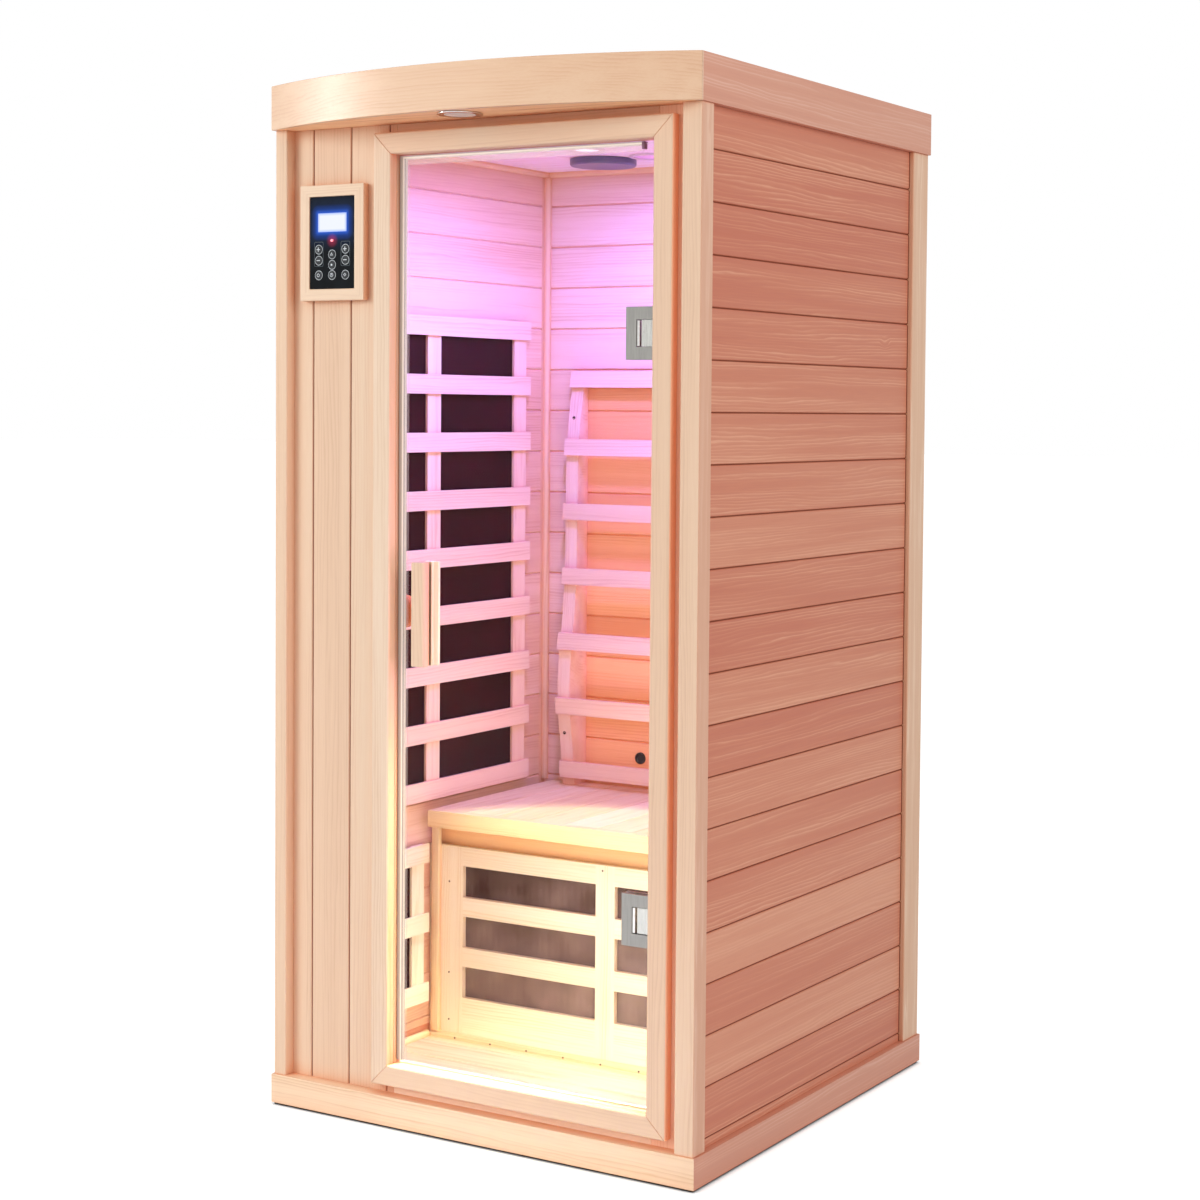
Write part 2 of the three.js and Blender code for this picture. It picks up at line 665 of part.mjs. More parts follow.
function buildRoof() {
  const roof = group(cabin);
  const outerBow = bowPoints(halfWidth, roofFront, VISOR_DEPTH);
  const innerBow = bowPoints(roofInnerSide, roofFront, VISOR_DEPTH - FASCIA_THICKNESS);
  const frontBoard = [...outerBow, ...[...innerBow].reverse()];
  addMesh(roof, "fascia_front", HEMLOCK, prismZ(frontBoard, wallTop, CABIN_HEIGHT));
  const rim = [
    [-halfWidth, roofFront], [-roofInnerSide, roofFront], [-roofInnerSide, roofInnerBack],
    [roofInnerSide, roofInnerBack], [roofInnerSide, roofFront], [halfWidth, roofFront],
    [halfWidth, halfDepth], [-halfWidth, halfDepth],
  ];
  addMesh(roof, "fascia_rim", HEMLOCK, prismZ(rim, wallTop, CABIN_HEIGHT));
  const ceiling = box(-roofInnerSide, roofInnerSide, roofFront, roofInnerBack, wallTop, ceilingTop);
  addMesh(roof, "ceiling_panel", HEMLOCK_SHADED, ceiling);
  const lampY = roofFront - VISOR_LAMP_OFFSET;
  const lampHole = circle(0, lampY, VISOR_LAMP_BODY_RADIUS + LAMP_CLEARANCE, LAMP_SIDES);
  addMesh(roof, "visor_soffit", HEMLOCK_SHADED, prismZ(innerBow, wallTop, ceilingTop, [lampHole]));
  const unitY = roofInnerBack - POWER_UNIT_FROM_BACK - POWER_UNIT_DEPTH / 2;
  const cover = [...innerBow, [roofInnerSide, roofInnerBack], [-roofInnerSide, roofInnerBack]];
  const glandHole = circle(0, unitY, GLAND_RADIUS + GLAND_CLEARANCE, PIN_SIDES);
  addMesh(roof, "roof_cover", COVER_BOARD, prismZ(cover, coverUnderside, coverTop, [glandHole]));
  buildVisorLamp(roof, lampY);
  buildCeilingLamp(roof);
  buildPowerUnit(roof, unitY);
}

// Recessed lamp: a flange under the soffit, a body through it and a shallow lens pocket.
function buildVisorLamp(roof, lampY) {
  const profile = [
    [0, VISOR_LAMP_BODY_HEIGHT],
    [VISOR_LAMP_BODY_RADIUS, VISOR_LAMP_BODY_HEIGHT],
    [VISOR_LAMP_BODY_RADIUS, -LAMP_CLEARANCE],
    [VISOR_LAMP_RADIUS, -LAMP_CLEARANCE],
    [VISOR_LAMP_RADIUS, -VISOR_LAMP_FLANGE],
    [VISOR_LAMP_LENS_RADIUS, -VISOR_LAMP_FLANGE],
    [VISOR_LAMP_LENS_RADIUS, -VISOR_LAMP_FLANGE + VISOR_LAMP_LENS_DEPTH],
    [0, -VISOR_LAMP_FLANGE + VISOR_LAMP_LENS_DEPTH],
  ];
  addMesh(roof, "visor_lamp", LAMP_TRIM, turned(profile, LAMP_SIDES)).position.set(0, lampY, wallTop);
}

function buildCeilingLamp(roof) {
  const profile = [
    [0, -LAMP_CLEARANCE],
    [CEILING_LAMP_RADIUS, -LAMP_CLEARANCE],
    [CEILING_LAMP_RADIUS, CEILING_LAMP_EASE - CEILING_LAMP_HEIGHT],
    [CEILING_LAMP_RADIUS - CEILING_LAMP_EASE, -CEILING_LAMP_HEIGHT],
    [0, -CEILING_LAMP_HEIGHT],
  ];
  const lamp = addMesh(roof, "ceiling_lamp", LAMP_LENS, turned(profile, LAMP_SIDES));
  lamp.position.set(-sideInner + CEILING_LAMP_FROM_LEFT, backInner - CEILING_LAMP_FROM_BACK, wallTop);
}

// Electronics box on the ceiling panel, with the cable gland that comes up through the cover.
function buildPowerUnit(roof, unitY) {
  const half = POWER_UNIT_WIDTH / 2;
  const front = unitY - POWER_UNIT_DEPTH / 2;
  const back = unitY + POWER_UNIT_DEPTH / 2;
  const body = box(-half, half, front, back, ceilingTop, ceilingTop + POWER_UNIT_HEIGHT);
  const glandTop = CABIN_HEIGHT - GLAND_TOP_DROP;
  const gland = prismZ(circle(0, unitY, GLAND_RADIUS, PIN_SIDES), ceilingTop + CUT_PAST, glandTop);
  addMesh(roof, "power_unit", UNIT_GREY, join(body, gland));
}

function buildBench() {
  const bench = group(cabin);
  const seatSide = sideInner - SEAT_SIDE_GAP;
  const joints = boardJoints(-seatSide + SEAT_BOARD_PITCH, SEAT_BOARD_PITCH, seatSide);
  const top = joints.flatMap((at) => [
    [at - SEAT_GROOVE_WIDTH / 2, SEAT_HEIGHT],
    [at, SEAT_HEIGHT - SEAT_GROOVE_DEPTH],
    [at + SEAT_GROOVE_WIDTH / 2, SEAT_HEIGHT],
  ]);
  const seatSection = (surface) => [
    [-seatSide, seatUnderside],
    [-seatSide, SEAT_HEIGHT - SEAT_EASE],
    [SEAT_EASE - seatSide, SEAT_HEIGHT],
    ...surface,
    [seatSide - SEAT_EASE, SEAT_HEIGHT],
    [seatSide, SEAT_HEIGHT - SEAT_EASE],
    [seatSide, seatUnderside],
  ];
  const lip = prismY(seatSection([]), seatFront, seatFront + SEAT_LIP);
  const boards = prismY(seatSection(top), seatFront + SEAT_LIP, backInner);
  addMesh(bench, "bench_seat", HEMLOCK_SEAT, join(lip, boards));
  const rail = box(
    -sideInner, sideInner, calfHeaterBack, calfHeaterBack + BENCH_RAIL_THICKNESS,
    seatUnderside - BENCH_RAIL_HEIGHT, seatUnderside,
  );
  addMesh(bench, "bench_front_rail", HEMLOCK_SHADED, rail);
  const cleat = box(
    -sideInner, sideInner, backInner - BENCH_CLEAT_DEPTH, backInner,
    seatUnderside - BENCH_CLEAT_HEIGHT, seatUnderside,
  );
  addMesh(bench, "bench_back_cleat", HEMLOCK_SHADED, cleat);
  buildCalfHeater(bench);
}

function buildCalfHeater(bench) {
  const windows = [];
  let low = calfTop;
  for (let row = 0; row < CALF_ROWS; row += 1) {
    const high = low - CALF_RAIL;
    low = high - CALF_WINDOW;
    for (const side of [-1, 1]) {
      const opening = rectangle((side * CALF_MID_STILE) / 2, side * calfWindowEnd, low, high);
      windows.push(prismY(opening, calfFront - CUT_PAST, calfBack + CUT_PAST));
    }
  }
  const face = prismY(rectangle(-sideInner, sideInner, floorTop, calfTop), calfFront, calfBack);
  addMesh(bench, "calf_guard", HEMLOCK_SEAT, cut(face, ...windows));
  const emitter = box(
    -calfWindowEnd - CALF_HEATER_MARGIN, calfWindowEnd + CALF_HEATER_MARGIN, calfBack, calfHeaterBack,
    low - CALF_HEATER_MARGIN, calfTop - CALF_RAIL + CALF_HEATER_MARGIN,
  );
  addMesh(bench, "calf_heater", CARBON, emitter);
}

// Front line of the backrest: its distance in Y for a height above the seat.
function backrestFront(height) {
  const swell = LUMBAR_DEPTH * Math.exp(-(((height - LUMBAR_HEIGHT) / LUMBAR_SPREAD) ** 2) / 2);
  const along = Math.max(0, height - HEAD_LEAN_START) / (BACKREST_HEIGHT - HEAD_LEAN_START);
  return backInner - BACKREST_STANDOFF - swell + HEAD_LEAN * along ** 2;
}

function buildBackrest() {
  const half = BACKREST_WIDTH / 2;
  const front = [];
  for (let i = 0; i <= STRINGER_STEPS; i += 1) {
    const height = (BACKREST_HEIGHT * i) / STRINGER_STEPS;
    front.push([backrestFront(height) + SLAT_THICKNESS - SLAT_BITE, SEAT_HEIGHT + height]);
  }
  const side = [[backInner, SEAT_HEIGHT], ...front, [backInner, SEAT_HEIGHT + BACKREST_HEIGHT]];
  const slat = (low) => {
    const high = low + SLAT_HEIGHT;
    const section = [
      [backrestFront(low), SEAT_HEIGHT + low],
      [backrestFront(low) + SLAT_THICKNESS, SEAT_HEIGHT + low],
      [backrestFront(high) + SLAT_THICKNESS, SEAT_HEIGHT + high],
      [backrestFront(high), SEAT_HEIGHT + high],
    ];
    return prismX(section, -half, half);
  };
  const slats = [slat(BACKREST_HEIGHT - SLAT_HEIGHT)];
  for (let i = 0; i < SLAT_COUNT; i += 1) slats.push(slat(SLAT_FIRST + i * SLAT_PITCH));
  const stringers = [prismX(side, -half, STRINGER_WIDTH - half), prismX(side, half - STRINGER_WIDTH, half)];
  addMesh(cabin, "backrest", HEMLOCK_SEAT, join(...stringers, ...slats));
}

// One guarded heater on a side wall; side is -1 on the left and 1 on the right.
function buildHeater(parent, names, side, guard) {
  const wall = side * sideInner;
  const emitterFace = wall - side * EMITTER_THICKNESS;
  const stileFace = emitterFace - side * GUARD_STILE_THICKNESS;
  const railFace = stileFace - side * GUARD_RAIL_THICKNESS;
  const top = guard.bottom + GUARD_RAIL + (guard.rails - 1) * guard.pitch;
  const first = guard.front + GUARD_OVERRUN;
  const last = guard.back - GUARD_OVERRUN;
  const emitter = box(
    wall, emitterFace, first + EMITTER_INSET, last - EMITTER_INSET,
    guard.bottom + EMITTER_INSET, top - EMITTER_INSET,
  );
  addMesh(parent, names.emitter, CARBON, emitter);
  const pieces = [];
  for (let i = 0; i < guard.rails; i += 1) {
    const z = guard.bottom + i * guard.pitch;
    pieces.push(box(stileFace, railFace, guard.front, guard.back, z, z + GUARD_RAIL));
  }
  const spacing = (last - guard.stile - first) / (guard.stiles - 1);
  for (let i = 0; i < guard.stiles; i += 1) {
    const y = first + i * spacing;
    const bitten = stileFace - side * GUARD_BITE;
    pieces.push(box(emitterFace, bitten, y, y + guard.stile, guard.bottom, top));
  }
  addMesh(parent, names.guard, HEMLOCK_SEAT, join(...pieces));
}

function buildHeaters() {
  const heaters = group(cabin);
  const sideGuard = {
    bottom: SEAT_HEIGHT + SIDE_GUARD_LIFT,
    pitch: SIDE_GUARD_PITCH,
    rails: SIDE_GUARD_RAILS,
    stile: SIDE_GUARD_STILE,
    stiles: SIDE_GUARD_STILES,
    front: frontInner + SIDE_GUARD_FRONT_MARGIN,
    back: backInner - SIDE_GUARD_BACK_MARGIN,
  };
  const legGuard = {
    bottom: floorTop + LEG_GUARD_LIFT,
    pitch: LEG_GUARD_PITCH,
    rails: LEG_GUARD_RAILS,
    stile: LEG_GUARD_STILE,
    stiles: LEG_GUARD_STILES,
    front: frontInner + LEG_GUARD_FRONT_MARGIN,
    back: calfFront - LEG_GUARD_BACK_MARGIN,
  };
  for (const [word, side] of [["left", -1], ["right", 1]]) {
    buildHeater(heaters, { emitter: `side_heater_${word}`, guard: `side_guard_${word}` }, side, sideGuard);
    buildHeater(heaters, { emitter: `leg_heater_${word}`, guard: `leg_guard_${word}` }, side, legGuard);
  }
}

// Places of the nine keys from the middle of the panel, column by column.
function keyPlaces() {
  const columns = [[-KEY_COLUMN, KEY_ROWS_OUTER], [0, KEY_ROWS_MIDDLE], [KEY_COLUMN, KEY_ROWS_OUTER]];
  return columns.flatMap(([x, rows]) => rows.map((z) => [x, z]));
}

function buildControls() {
  const controls = group(cabin);
  const centreX = (leftPostInner + doorwayLeft - CASING_WIDTH) / 2;
  const centreZ = wallTop - CONTROL_DROP;
  const about = (width, height, rise = 0) => rectangle(
    centreX - width / 2, centreX + width / 2, centreZ + rise - height / 2, centreZ + rise + height / 2,
  );
  const opening = about(PANEL_WIDTH + 2 * PANEL_CLEARANCE, PANEL_HEIGHT + 2 * PANEL_CLEARANCE);
  const surround = prismY(
    about(SURROUND_WIDTH, SURROUND_HEIGHT), frontOuter - SURROUND_THICKNESS, frontOuter, [opening],
  );
  addMesh(controls, "control_surround", HEMLOCK, surround);

  const panelFront = frontOuter - PANEL_THICKNESS;
  const displayBack = panelFront + DISPLAY_THICKNESS;
  const displayRoom = 2 * DISPLAY_CLEARANCE;
  const pocket = prismY(
    about(DISPLAY_WIDTH + displayRoom, DISPLAY_HEIGHT + displayRoom, DISPLAY_RISE),
    panelFront - CUT_PAST, displayBack,
  );
  const keyFront = panelFront - KEY_PROUD;
  const keyFloor = keyFront + KEY_HEIGHT + KEY_TRAVEL + KEY_STOP_GAP;
  const wells = keyPlaces().map(([x, z]) => prismY(
    circle(centreX + x, centreZ + z, KEY_RADIUS + KEY_CLEARANCE, KEY_SIDES), panelFront - CUT_PAST, keyFloor,
  ));
  const panel = prismY(about(PANEL_WIDTH, PANEL_HEIGHT), panelFront, frontOuter);
  addMesh(controls, "control_panel", PANEL_BLACK, cut(panel, pocket, ...wells));
  const display = prismY(about(DISPLAY_WIDTH, DISPLAY_HEIGHT, DISPLAY_RISE), panelFront, displayBack);
  addMesh(controls, "control_display", DISPLAY_BLUE, display);

  const keyProfile = [
    [0, 0],
    [KEY_RADIUS, 0],
    [KEY_RADIUS, KEY_HEIGHT - KEY_EASE],
    [KEY_RADIUS - KEY_EASE, KEY_HEIGHT],
    [0, KEY_HEIGHT],
  ];
  keyPlaces().forEach(([x, z], i) => {
    const key = addMesh(controls, `key_${i + 1}`, KEY_GREY, turned(keyProfile, KEY_SIDES));
    key.rotation.x = Math.PI / 2;
    key.position.set(centreX + x, keyFront + KEY_HEIGHT, centreZ + z);
  });
}

buildBase();
buildPosts();
buildWalls();
buildFront();
buildCasing();
buildDoor();
buildRoof();
buildBench();
buildBackrest();
buildHeaters();
buildControls();

export default cabin;
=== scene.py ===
# %% [markdown]
# # One-person infrared sauna cabin
# The cabin comes in as a fixed frame of plain solids, each in its true place. This lesson eases the edges of the
# boards, gives every piece the finish of the real material, adds the small fittings that a plain solid lacks, and
# lights the cabin in a pale studio with its own coloured lamp switched on.

# %% Load the cabin
import json
from math import radians

import bpy
from mathutils import Matrix, Vector

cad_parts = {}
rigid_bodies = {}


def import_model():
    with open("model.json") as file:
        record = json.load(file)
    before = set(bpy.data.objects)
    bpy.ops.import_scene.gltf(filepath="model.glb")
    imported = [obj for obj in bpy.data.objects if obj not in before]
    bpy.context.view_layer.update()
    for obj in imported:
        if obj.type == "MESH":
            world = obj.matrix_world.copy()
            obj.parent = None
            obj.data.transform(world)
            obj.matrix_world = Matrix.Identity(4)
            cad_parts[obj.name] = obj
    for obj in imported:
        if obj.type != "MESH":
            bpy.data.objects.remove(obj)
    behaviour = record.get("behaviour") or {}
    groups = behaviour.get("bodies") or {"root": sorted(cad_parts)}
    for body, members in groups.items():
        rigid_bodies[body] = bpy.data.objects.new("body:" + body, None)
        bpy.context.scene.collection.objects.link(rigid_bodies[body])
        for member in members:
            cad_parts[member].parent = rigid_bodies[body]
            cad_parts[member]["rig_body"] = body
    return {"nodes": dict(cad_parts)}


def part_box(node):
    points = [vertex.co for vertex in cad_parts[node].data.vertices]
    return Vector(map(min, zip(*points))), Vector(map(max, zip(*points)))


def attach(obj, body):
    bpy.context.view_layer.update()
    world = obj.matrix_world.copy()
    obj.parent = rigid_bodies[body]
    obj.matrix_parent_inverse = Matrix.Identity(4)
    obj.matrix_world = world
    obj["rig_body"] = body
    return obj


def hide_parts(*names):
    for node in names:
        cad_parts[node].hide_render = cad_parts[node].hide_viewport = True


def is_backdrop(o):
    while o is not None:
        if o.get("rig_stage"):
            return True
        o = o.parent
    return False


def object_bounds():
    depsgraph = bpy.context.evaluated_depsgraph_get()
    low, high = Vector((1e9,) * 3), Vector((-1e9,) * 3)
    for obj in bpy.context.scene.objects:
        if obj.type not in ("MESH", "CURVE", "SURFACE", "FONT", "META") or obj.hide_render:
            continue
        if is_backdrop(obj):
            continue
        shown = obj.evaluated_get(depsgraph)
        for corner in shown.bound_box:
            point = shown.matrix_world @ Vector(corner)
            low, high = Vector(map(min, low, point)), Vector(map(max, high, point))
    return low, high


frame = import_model()
cad_box = [list(corner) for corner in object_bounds()]
print("nodes:", len(frame["nodes"]), "box in metres:", [[round(v, 3) for v in corner] for corner in cad_box])

# %% [markdown]
# ## Camera
# The picture was taken a little above the middle of the cabin, from its right front corner. The view could be found
# by eye, but a camera that was solved from the cabin's own straight edges lines up everywhere at once. Turning about
# Z, then X, then its own axis gives yaw, pitch and roll in that order.

# %% Camera at the picture's angle
FRAME_PIXELS = 1200
FOCAL_PIXELS = 2255.8
AIM_PIXEL = (686.2, 497.5)
YAW, PITCH, ROLL = radians(30.508), radians(-2.229), radians(0.502)

bpy.ops.object.select_all(action="DESELECT")
bpy.ops.object.camera_add()
camera = bpy.context.active_object
camera.matrix_world = (
    Matrix.Translation((2.3316, -3.6717, 1.3106))
    @ Matrix.Rotation(YAW, 4, "Z")
    @ Matrix.Rotation(radians(90) + PITCH, 4, "X")
    @ Matrix.Rotation(ROLL, 4, "Z")
)
camera.data.sensor_width = 36
camera.data.lens = camera.data.sensor_width * FOCAL_PIXELS / FRAME_PIXELS
camera.data.shift_x = 0.5 - AIM_PIXEL[0] / FRAME_PIXELS
camera.data.shift_y = AIM_PIXEL[1] / FRAME_PIXELS - 0.5
bpy.context.scene.camera = camera
print("lens", round(camera.data.lens, 2), "mm, shift", round(camera.data.shift_x, 4), round(camera.data.shift_y, 4))

# %% [markdown]
# ## Colours and nodes
# Colours are written as the hex values that a screen shows. Blender mixes light in linear values, so one function
# turns the one into the other. A second small function adds a node, sets it and links what feeds it, which keeps
# each finish below short enough to read as a recipe.

# %% Helpers for finishes
def linear(hex_colour):
    """An sRGB hex colour as linear red, green, blue and a full alpha."""
    parts = [int(hex_colour[i:i + 2], 16) / 255 for i in (1, 3, 5)]
    return (*[p / 12.92 if p <= 0.04045 else ((p + 0.055) / 1.055) ** 2.4 for p in parts], 1)


def put(tree, kind, feeds, stops=(), **settings):
    """Adds a node, sets it, and feeds its inputs with values or with the outputs of other nodes."""
    node = tree.nodes.new("ShaderNode" + kind)
    for key, value in settings.items():
        setattr(node, key, value)
    for socket, source in feeds.items():
        if isinstance(source, bpy.types.NodeSocket):
            tree.links.new(source, node.inputs[socket])
        else:
            node.inputs[socket].default_value = source
    for i, (at, colour) in enumerate(stops):
        stop = node.color_ramp.elements[i] if i < 2 else node.color_ramp.elements.new(at)
        stop.position = at
        stop.color = colour
    return node


def start(name, **sockets):
    """A new material with its uniform values set on the shader: material, node tree and shader."""
    material = bpy.data.materials.new(name)
    material.use_nodes = True
    shader = material.node_tree.nodes["Principled BSDF"]
    for socket, value in sockets.items():
        shader.inputs[socket.replace("_", " ")].default_value = value
    return material, material.node_tree, shader


print("a pale hemlock in linear light:", [round(v, 3) for v in linear("#E8CBA8")])

# %% [markdown]
# ## Studio
# A product picture stands on a white sweep. The floor here is a large pale plane that takes the cabin's shadow, and
# the camera alone sees it a little brighter, so that it runs into the white world behind without a seam. Close under
# the cabin's edge that lift is taken away, so the thin dark line there stays dark. The light that falls on the cabin
# stays at a plain level, because only what is seen is lifted: by the camera, in a mirror or through glass.

# %% Floor
SEEN_LIFT = 0.66
UNDER_EDGE = 0.02


def seen_ray(tree):
    """1 for a ray that shows a place to the camera, straight, mirrored or through glass, and 0 for any other."""
    path = put(tree, "LightPath", {}).outputs
    mirrored = put(tree, "Math", {0: path["Is Glossy Ray"], 1: path["Is Transmission Ray"]}, operation="MAXIMUM")
    return put(tree, "Math", {0: path["Is Camera Ray"], 1: mirrored.outputs[0]}, operation="MAXIMUM").outputs[0]


bpy.ops.mesh.primitive_plane_add(size=120)
floor = bpy.context.active_object
floor.name = "studio_floor"
# Matt paper: pale, without gloss, a little uneven.
floor_paper, tree, shader = start("studio_paper", Roughness=0.9, Emission_Color=(1, 1, 1, 1))
fleck = put(tree, "TexNoise", {"Vector": put(tree, "TexCoord", {}).outputs["Object"], "Scale": 3.0})
tone = put(tree, "ValToRGB", {0: fleck.outputs[0]}, [(0.3, linear("#DAD9D8")), (0.7, linear("#DEDDDC"))])
tree.links.new(tone.outputs[0], shader.inputs["Base Color"])
open_air = put(tree, "AmbientOcclusion", {"Distance": UNDER_EDGE}, samples=4).outputs["AO"]
clear_of = put(tree, "MapRange", {0: open_air, 1: 0.35, 2: 0.8, 3: 0, 4: SEEN_LIFT}).outputs[0]
lift = put(tree, "Math", {0: seen_ray(tree), 1: clear_of}, operation="MULTIPLY")
tree.links.new(lift.outputs[0], shader.inputs["Emission Strength"])
floor.data.materials.append(floor_paper)
floor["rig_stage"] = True
print("floor reaches", floor.dimensions.x / 2, "m each way")

# %% [markdown]
# ## White surroundings
# Behind the floor there is nothing but white. A backdrop could hang there, but the world's own colour has no edge. The
# camera sees it as full white, while the light that it gives the cabin is half as strong, which leaves the soft boxes
# room to shape the boards. The Standard view shows colours as they are written.

# %% White surroundings
WORLD_LIGHT = 0.50

world = bpy.data.worlds.new("studio_white")
bpy.context.scene.world = world
world.use_nodes = True
tree = world.node_tree
strength = put(tree, "MapRange", {0: seen_ray(tree), 3: WORLD_LIGHT, 4: 1.0})
tree.nodes["Background"].inputs["Color"].default_value = (1, 1, 1, 1)
tree.links.new(strength.outputs[0], tree.nodes["Background"].inputs["Strength"])
bpy.context.scene.view_settings.view_transform = "Standard"
print("world light", WORLD_LIGHT)

# %% [markdown]
# ## Studio lamps
# A broad soft box to the left of the camera lights the front and leaves the side wall in gentle shade, as in the
# picture. A weaker one, high on the right, keeps that wall from going dull. Soft boxes are area lamps: the larger
# they are, the softer the shadow's edge. They would show as bright squares in the door, so mirrors skip them. Only a
# small one far to the left is left to mirrors: it puts the sheen on the left end of the bowed board. A low strip in
# front stands for a white card on the floor, which brightens the foot of the cabin.

# %% Soft boxes
def soft_box(name, place, target, size, power, colour="#FFFFFF", spread=180):
    """An area lamp at a place in metres that faces a target and stays out of the picture and of the glass."""
    bpy.ops.object.light_add(type="AREA", location=place)
    lamp = bpy.context.active_object
    lamp.name = name
    lamp.rotation_euler = (Vector(target) - Vector(place)).to_track_quat("-Z", "Y").to_euler()
    lamp.data.size = size
    lamp.data.energy = power
    lamp.data.color = linear(colour)[:3]
    lamp.data.spread = radians(spread)
    lamp.visible_camera = lamp.visible_transmission = lamp.visible_glossy = False
    return lamp


key_box = soft_box("key_box", (-3.2, -4.6, 2.9), (0, 0, 1.0), 2.6, 176, "#F4FDFF")
fill_box = soft_box("fill_box", (4.7, -1.7, 3.2), (0, 0, 1.0), 2.6, 95)
sheen_box = soft_box("sheen_box", (-4.0, -2.3, 2.4), (-0.3, -0.5, 1.85), 0.8, 31)
sheen_box.visible_glossy, sheen_box.visible_diffuse = True, False
low_box = soft_box("low_box", (0.1, -1.2, 0.12), (0.05, -0.45, 0.22), 1.3, 1.0)
low_box.data.shape, low_box.data.size_y = "RECTANGLE", 0.12
print("soft boxes:", [box.data.energy for box in (key_box, fill_box, sheen_box, low_box)], "W")

# %% [markdown]
# ## Hemlock
# The cabin is made of Canadian hemlock, planed and given a clear satin coat. Its eye-catching marks are the growth
# rings, which a flat-sawn board shows as long wavering lines with a dark late edge, the short fibres along the
# grain, and small knots. Rings could be drawn with the wave texture, but that repeats like a printed paper. Here
# they are the contour lines of a noise that is stretched along the board, which is how they come about in a tree.

# %% Measures of the wood
GRAIN_AXES = {"X": "XYZ", "Y": "YXZ", "Z": "ZYX"}  # along the grain, through the board, across it
RING_MM = 6.5  # true rings are 1 to 3 mm apart, drawn coarser so that they show in the picture
FIBRE_MM = 1.6  # true fibres are finer than a hair, drawn as coarse as the picture can show
print("hemlock rings every", RING_MM, "mm, fibres every", FIBRE_MM, "mm")

# %% [markdown]
# ### Lay of the grain
# The recipe reads where a point lies along the grain, through the board and across it. Where one solid stands for
# many boards, it also needs the number of the board. Each board was cut from another place in the tree, so the
# number moves the pattern and gives the board a tint of its own.

# %% Grain and board numbers
def grain_place(tree, split, grain):
    """A point's place along the grain, through the board and across it."""
    return put(tree, "CombineXYZ", {i: split[axis] for i, axis in enumerate(GRAIN_AXES[grain])}).outputs[0]


def board_count(tree, split, axis, joint, pitch):
    """How many boards a point lies past a joint; whole numbers fall on joints."""
    past = put(tree, "Math", {0: split[axis], 1: joint}, operation="SUBTRACT").outputs[0]
    return put(tree, "Math", {0: past, 1: pitch}, operation="DIVIDE").outputs[0]


def own_cut(tree, lay, count):
    """The place in the tree that each board was cut from, and a tint of its own."""
    number = put(tree, "Math", {0: count}, operation="FLOOR").outputs[0]
    moved = put(tree, "VectorMath", {0: number, 1: (1.73, 0.37, 0.51), 2: lay}, operation="MULTIPLY_ADD").outputs[0]
    return moved, put(tree, "TexWhiteNoise", {"W": number}, noise_dimensions="1D").outputs["Value"]


print("helpers: grain_place, board_count, own_cut")

# %% [markdown]
# ### Rings and knots
# Across the board the rings rise evenly, and the drawn-out noise bends them. The fraction of that rise runs from 0 to
# 1 within each ring, so a ramp can draw pale spring wood and its dark late edge. Where a branch grew, the rings swing
# round it: a smooth hump is added to the rise there, and the middle of the hump is the knot.

# %% Rings and knots
def drawn_out(tree, lay, share):
    """A place squeezed along the grain, which draws a noise on it out by as much."""
    return put(tree, "VectorMath", {0: lay, 1: (share, 1, 1)}, operation="MULTIPLY").outputs[0]


def ring_rise(tree, lay):
    """A rise across the board that a noise bends; a ring ends at each whole number."""
    swell = put(tree, "TexNoise", {"Vector": drawn_out(tree, lay, 0.1), "Scale": 9, "Detail": 5, "Roughness": 0.55})
    across = put(tree, "VectorMath", {0: lay, 1: (0, 200 / RING_MM, 1000 / RING_MM)}, operation="DOT_PRODUCT")
    return put(tree, "Math", {0: swell.outputs[0], 1: 10, 2: across.outputs["Value"]},
               operation="MULTIPLY_ADD").outputs[0]


def knotted(tree, lay, rings, knots):
    """The rings with a hump at a share of the places for knots, and how dark the middles of the humps are."""
    oval = put(tree, "VectorMath", {0: lay, 1: (0.6, 0, 1)}, operation="MULTIPLY").outputs[0]
    spots = put(tree, "TexVoronoi", {"Vector": oval, "Scale": 7.5}).outputs
    kept = put(tree, "SeparateXYZ", {0: spots["Color"]}).outputs[0]
    kept = put(tree, "Math", {0: kept, 1: knots}, operation="LESS_THAN").outputs[0]
    hump = put(tree, "MapRange", {0: spots["Distance"], 1: 0.2, 2: 0.03, 3: 0, 4: 3.2},
               interpolation_type="SMOOTHERSTEP").outputs[0]
    core = put(tree, "MapRange", {0: spots["Distance"], 1: 0.03, 2: 0.015, 3: 0, 4: 0.8}).outputs[0]
    return (put(tree, "Math", {0: hump, 1: kept, 2: rings}, operation="MULTIPLY_ADD").outputs[0],
            put(tree, "Math", {0: core, 1: kept}, operation="MULTIPLY").outputs[0])


print("helpers: drawn_out, ring_rise, knotted")

# %% [markdown]
# ### Tones
# One number, the tone, gathers the late edges of the rings, fibres, streaks in which the rings show or fade, and broad
# patches of a darker or paler cut. Three colours turn it into wood: the ground, the body and the ring lines. A
# photograph of wood could be used instead, but numbers can be steered for each board.

# %% Tone and colour of the wood
TONE_STOPS = (0.4, 0.62, 1.0)
LATE_EDGE = [(at, (v, v, v, 1)) for at, v in ((0.0, 0.35), (0.16, 0), (0.6, 0.25), (0.9, 1), (1.0, 0.35))]


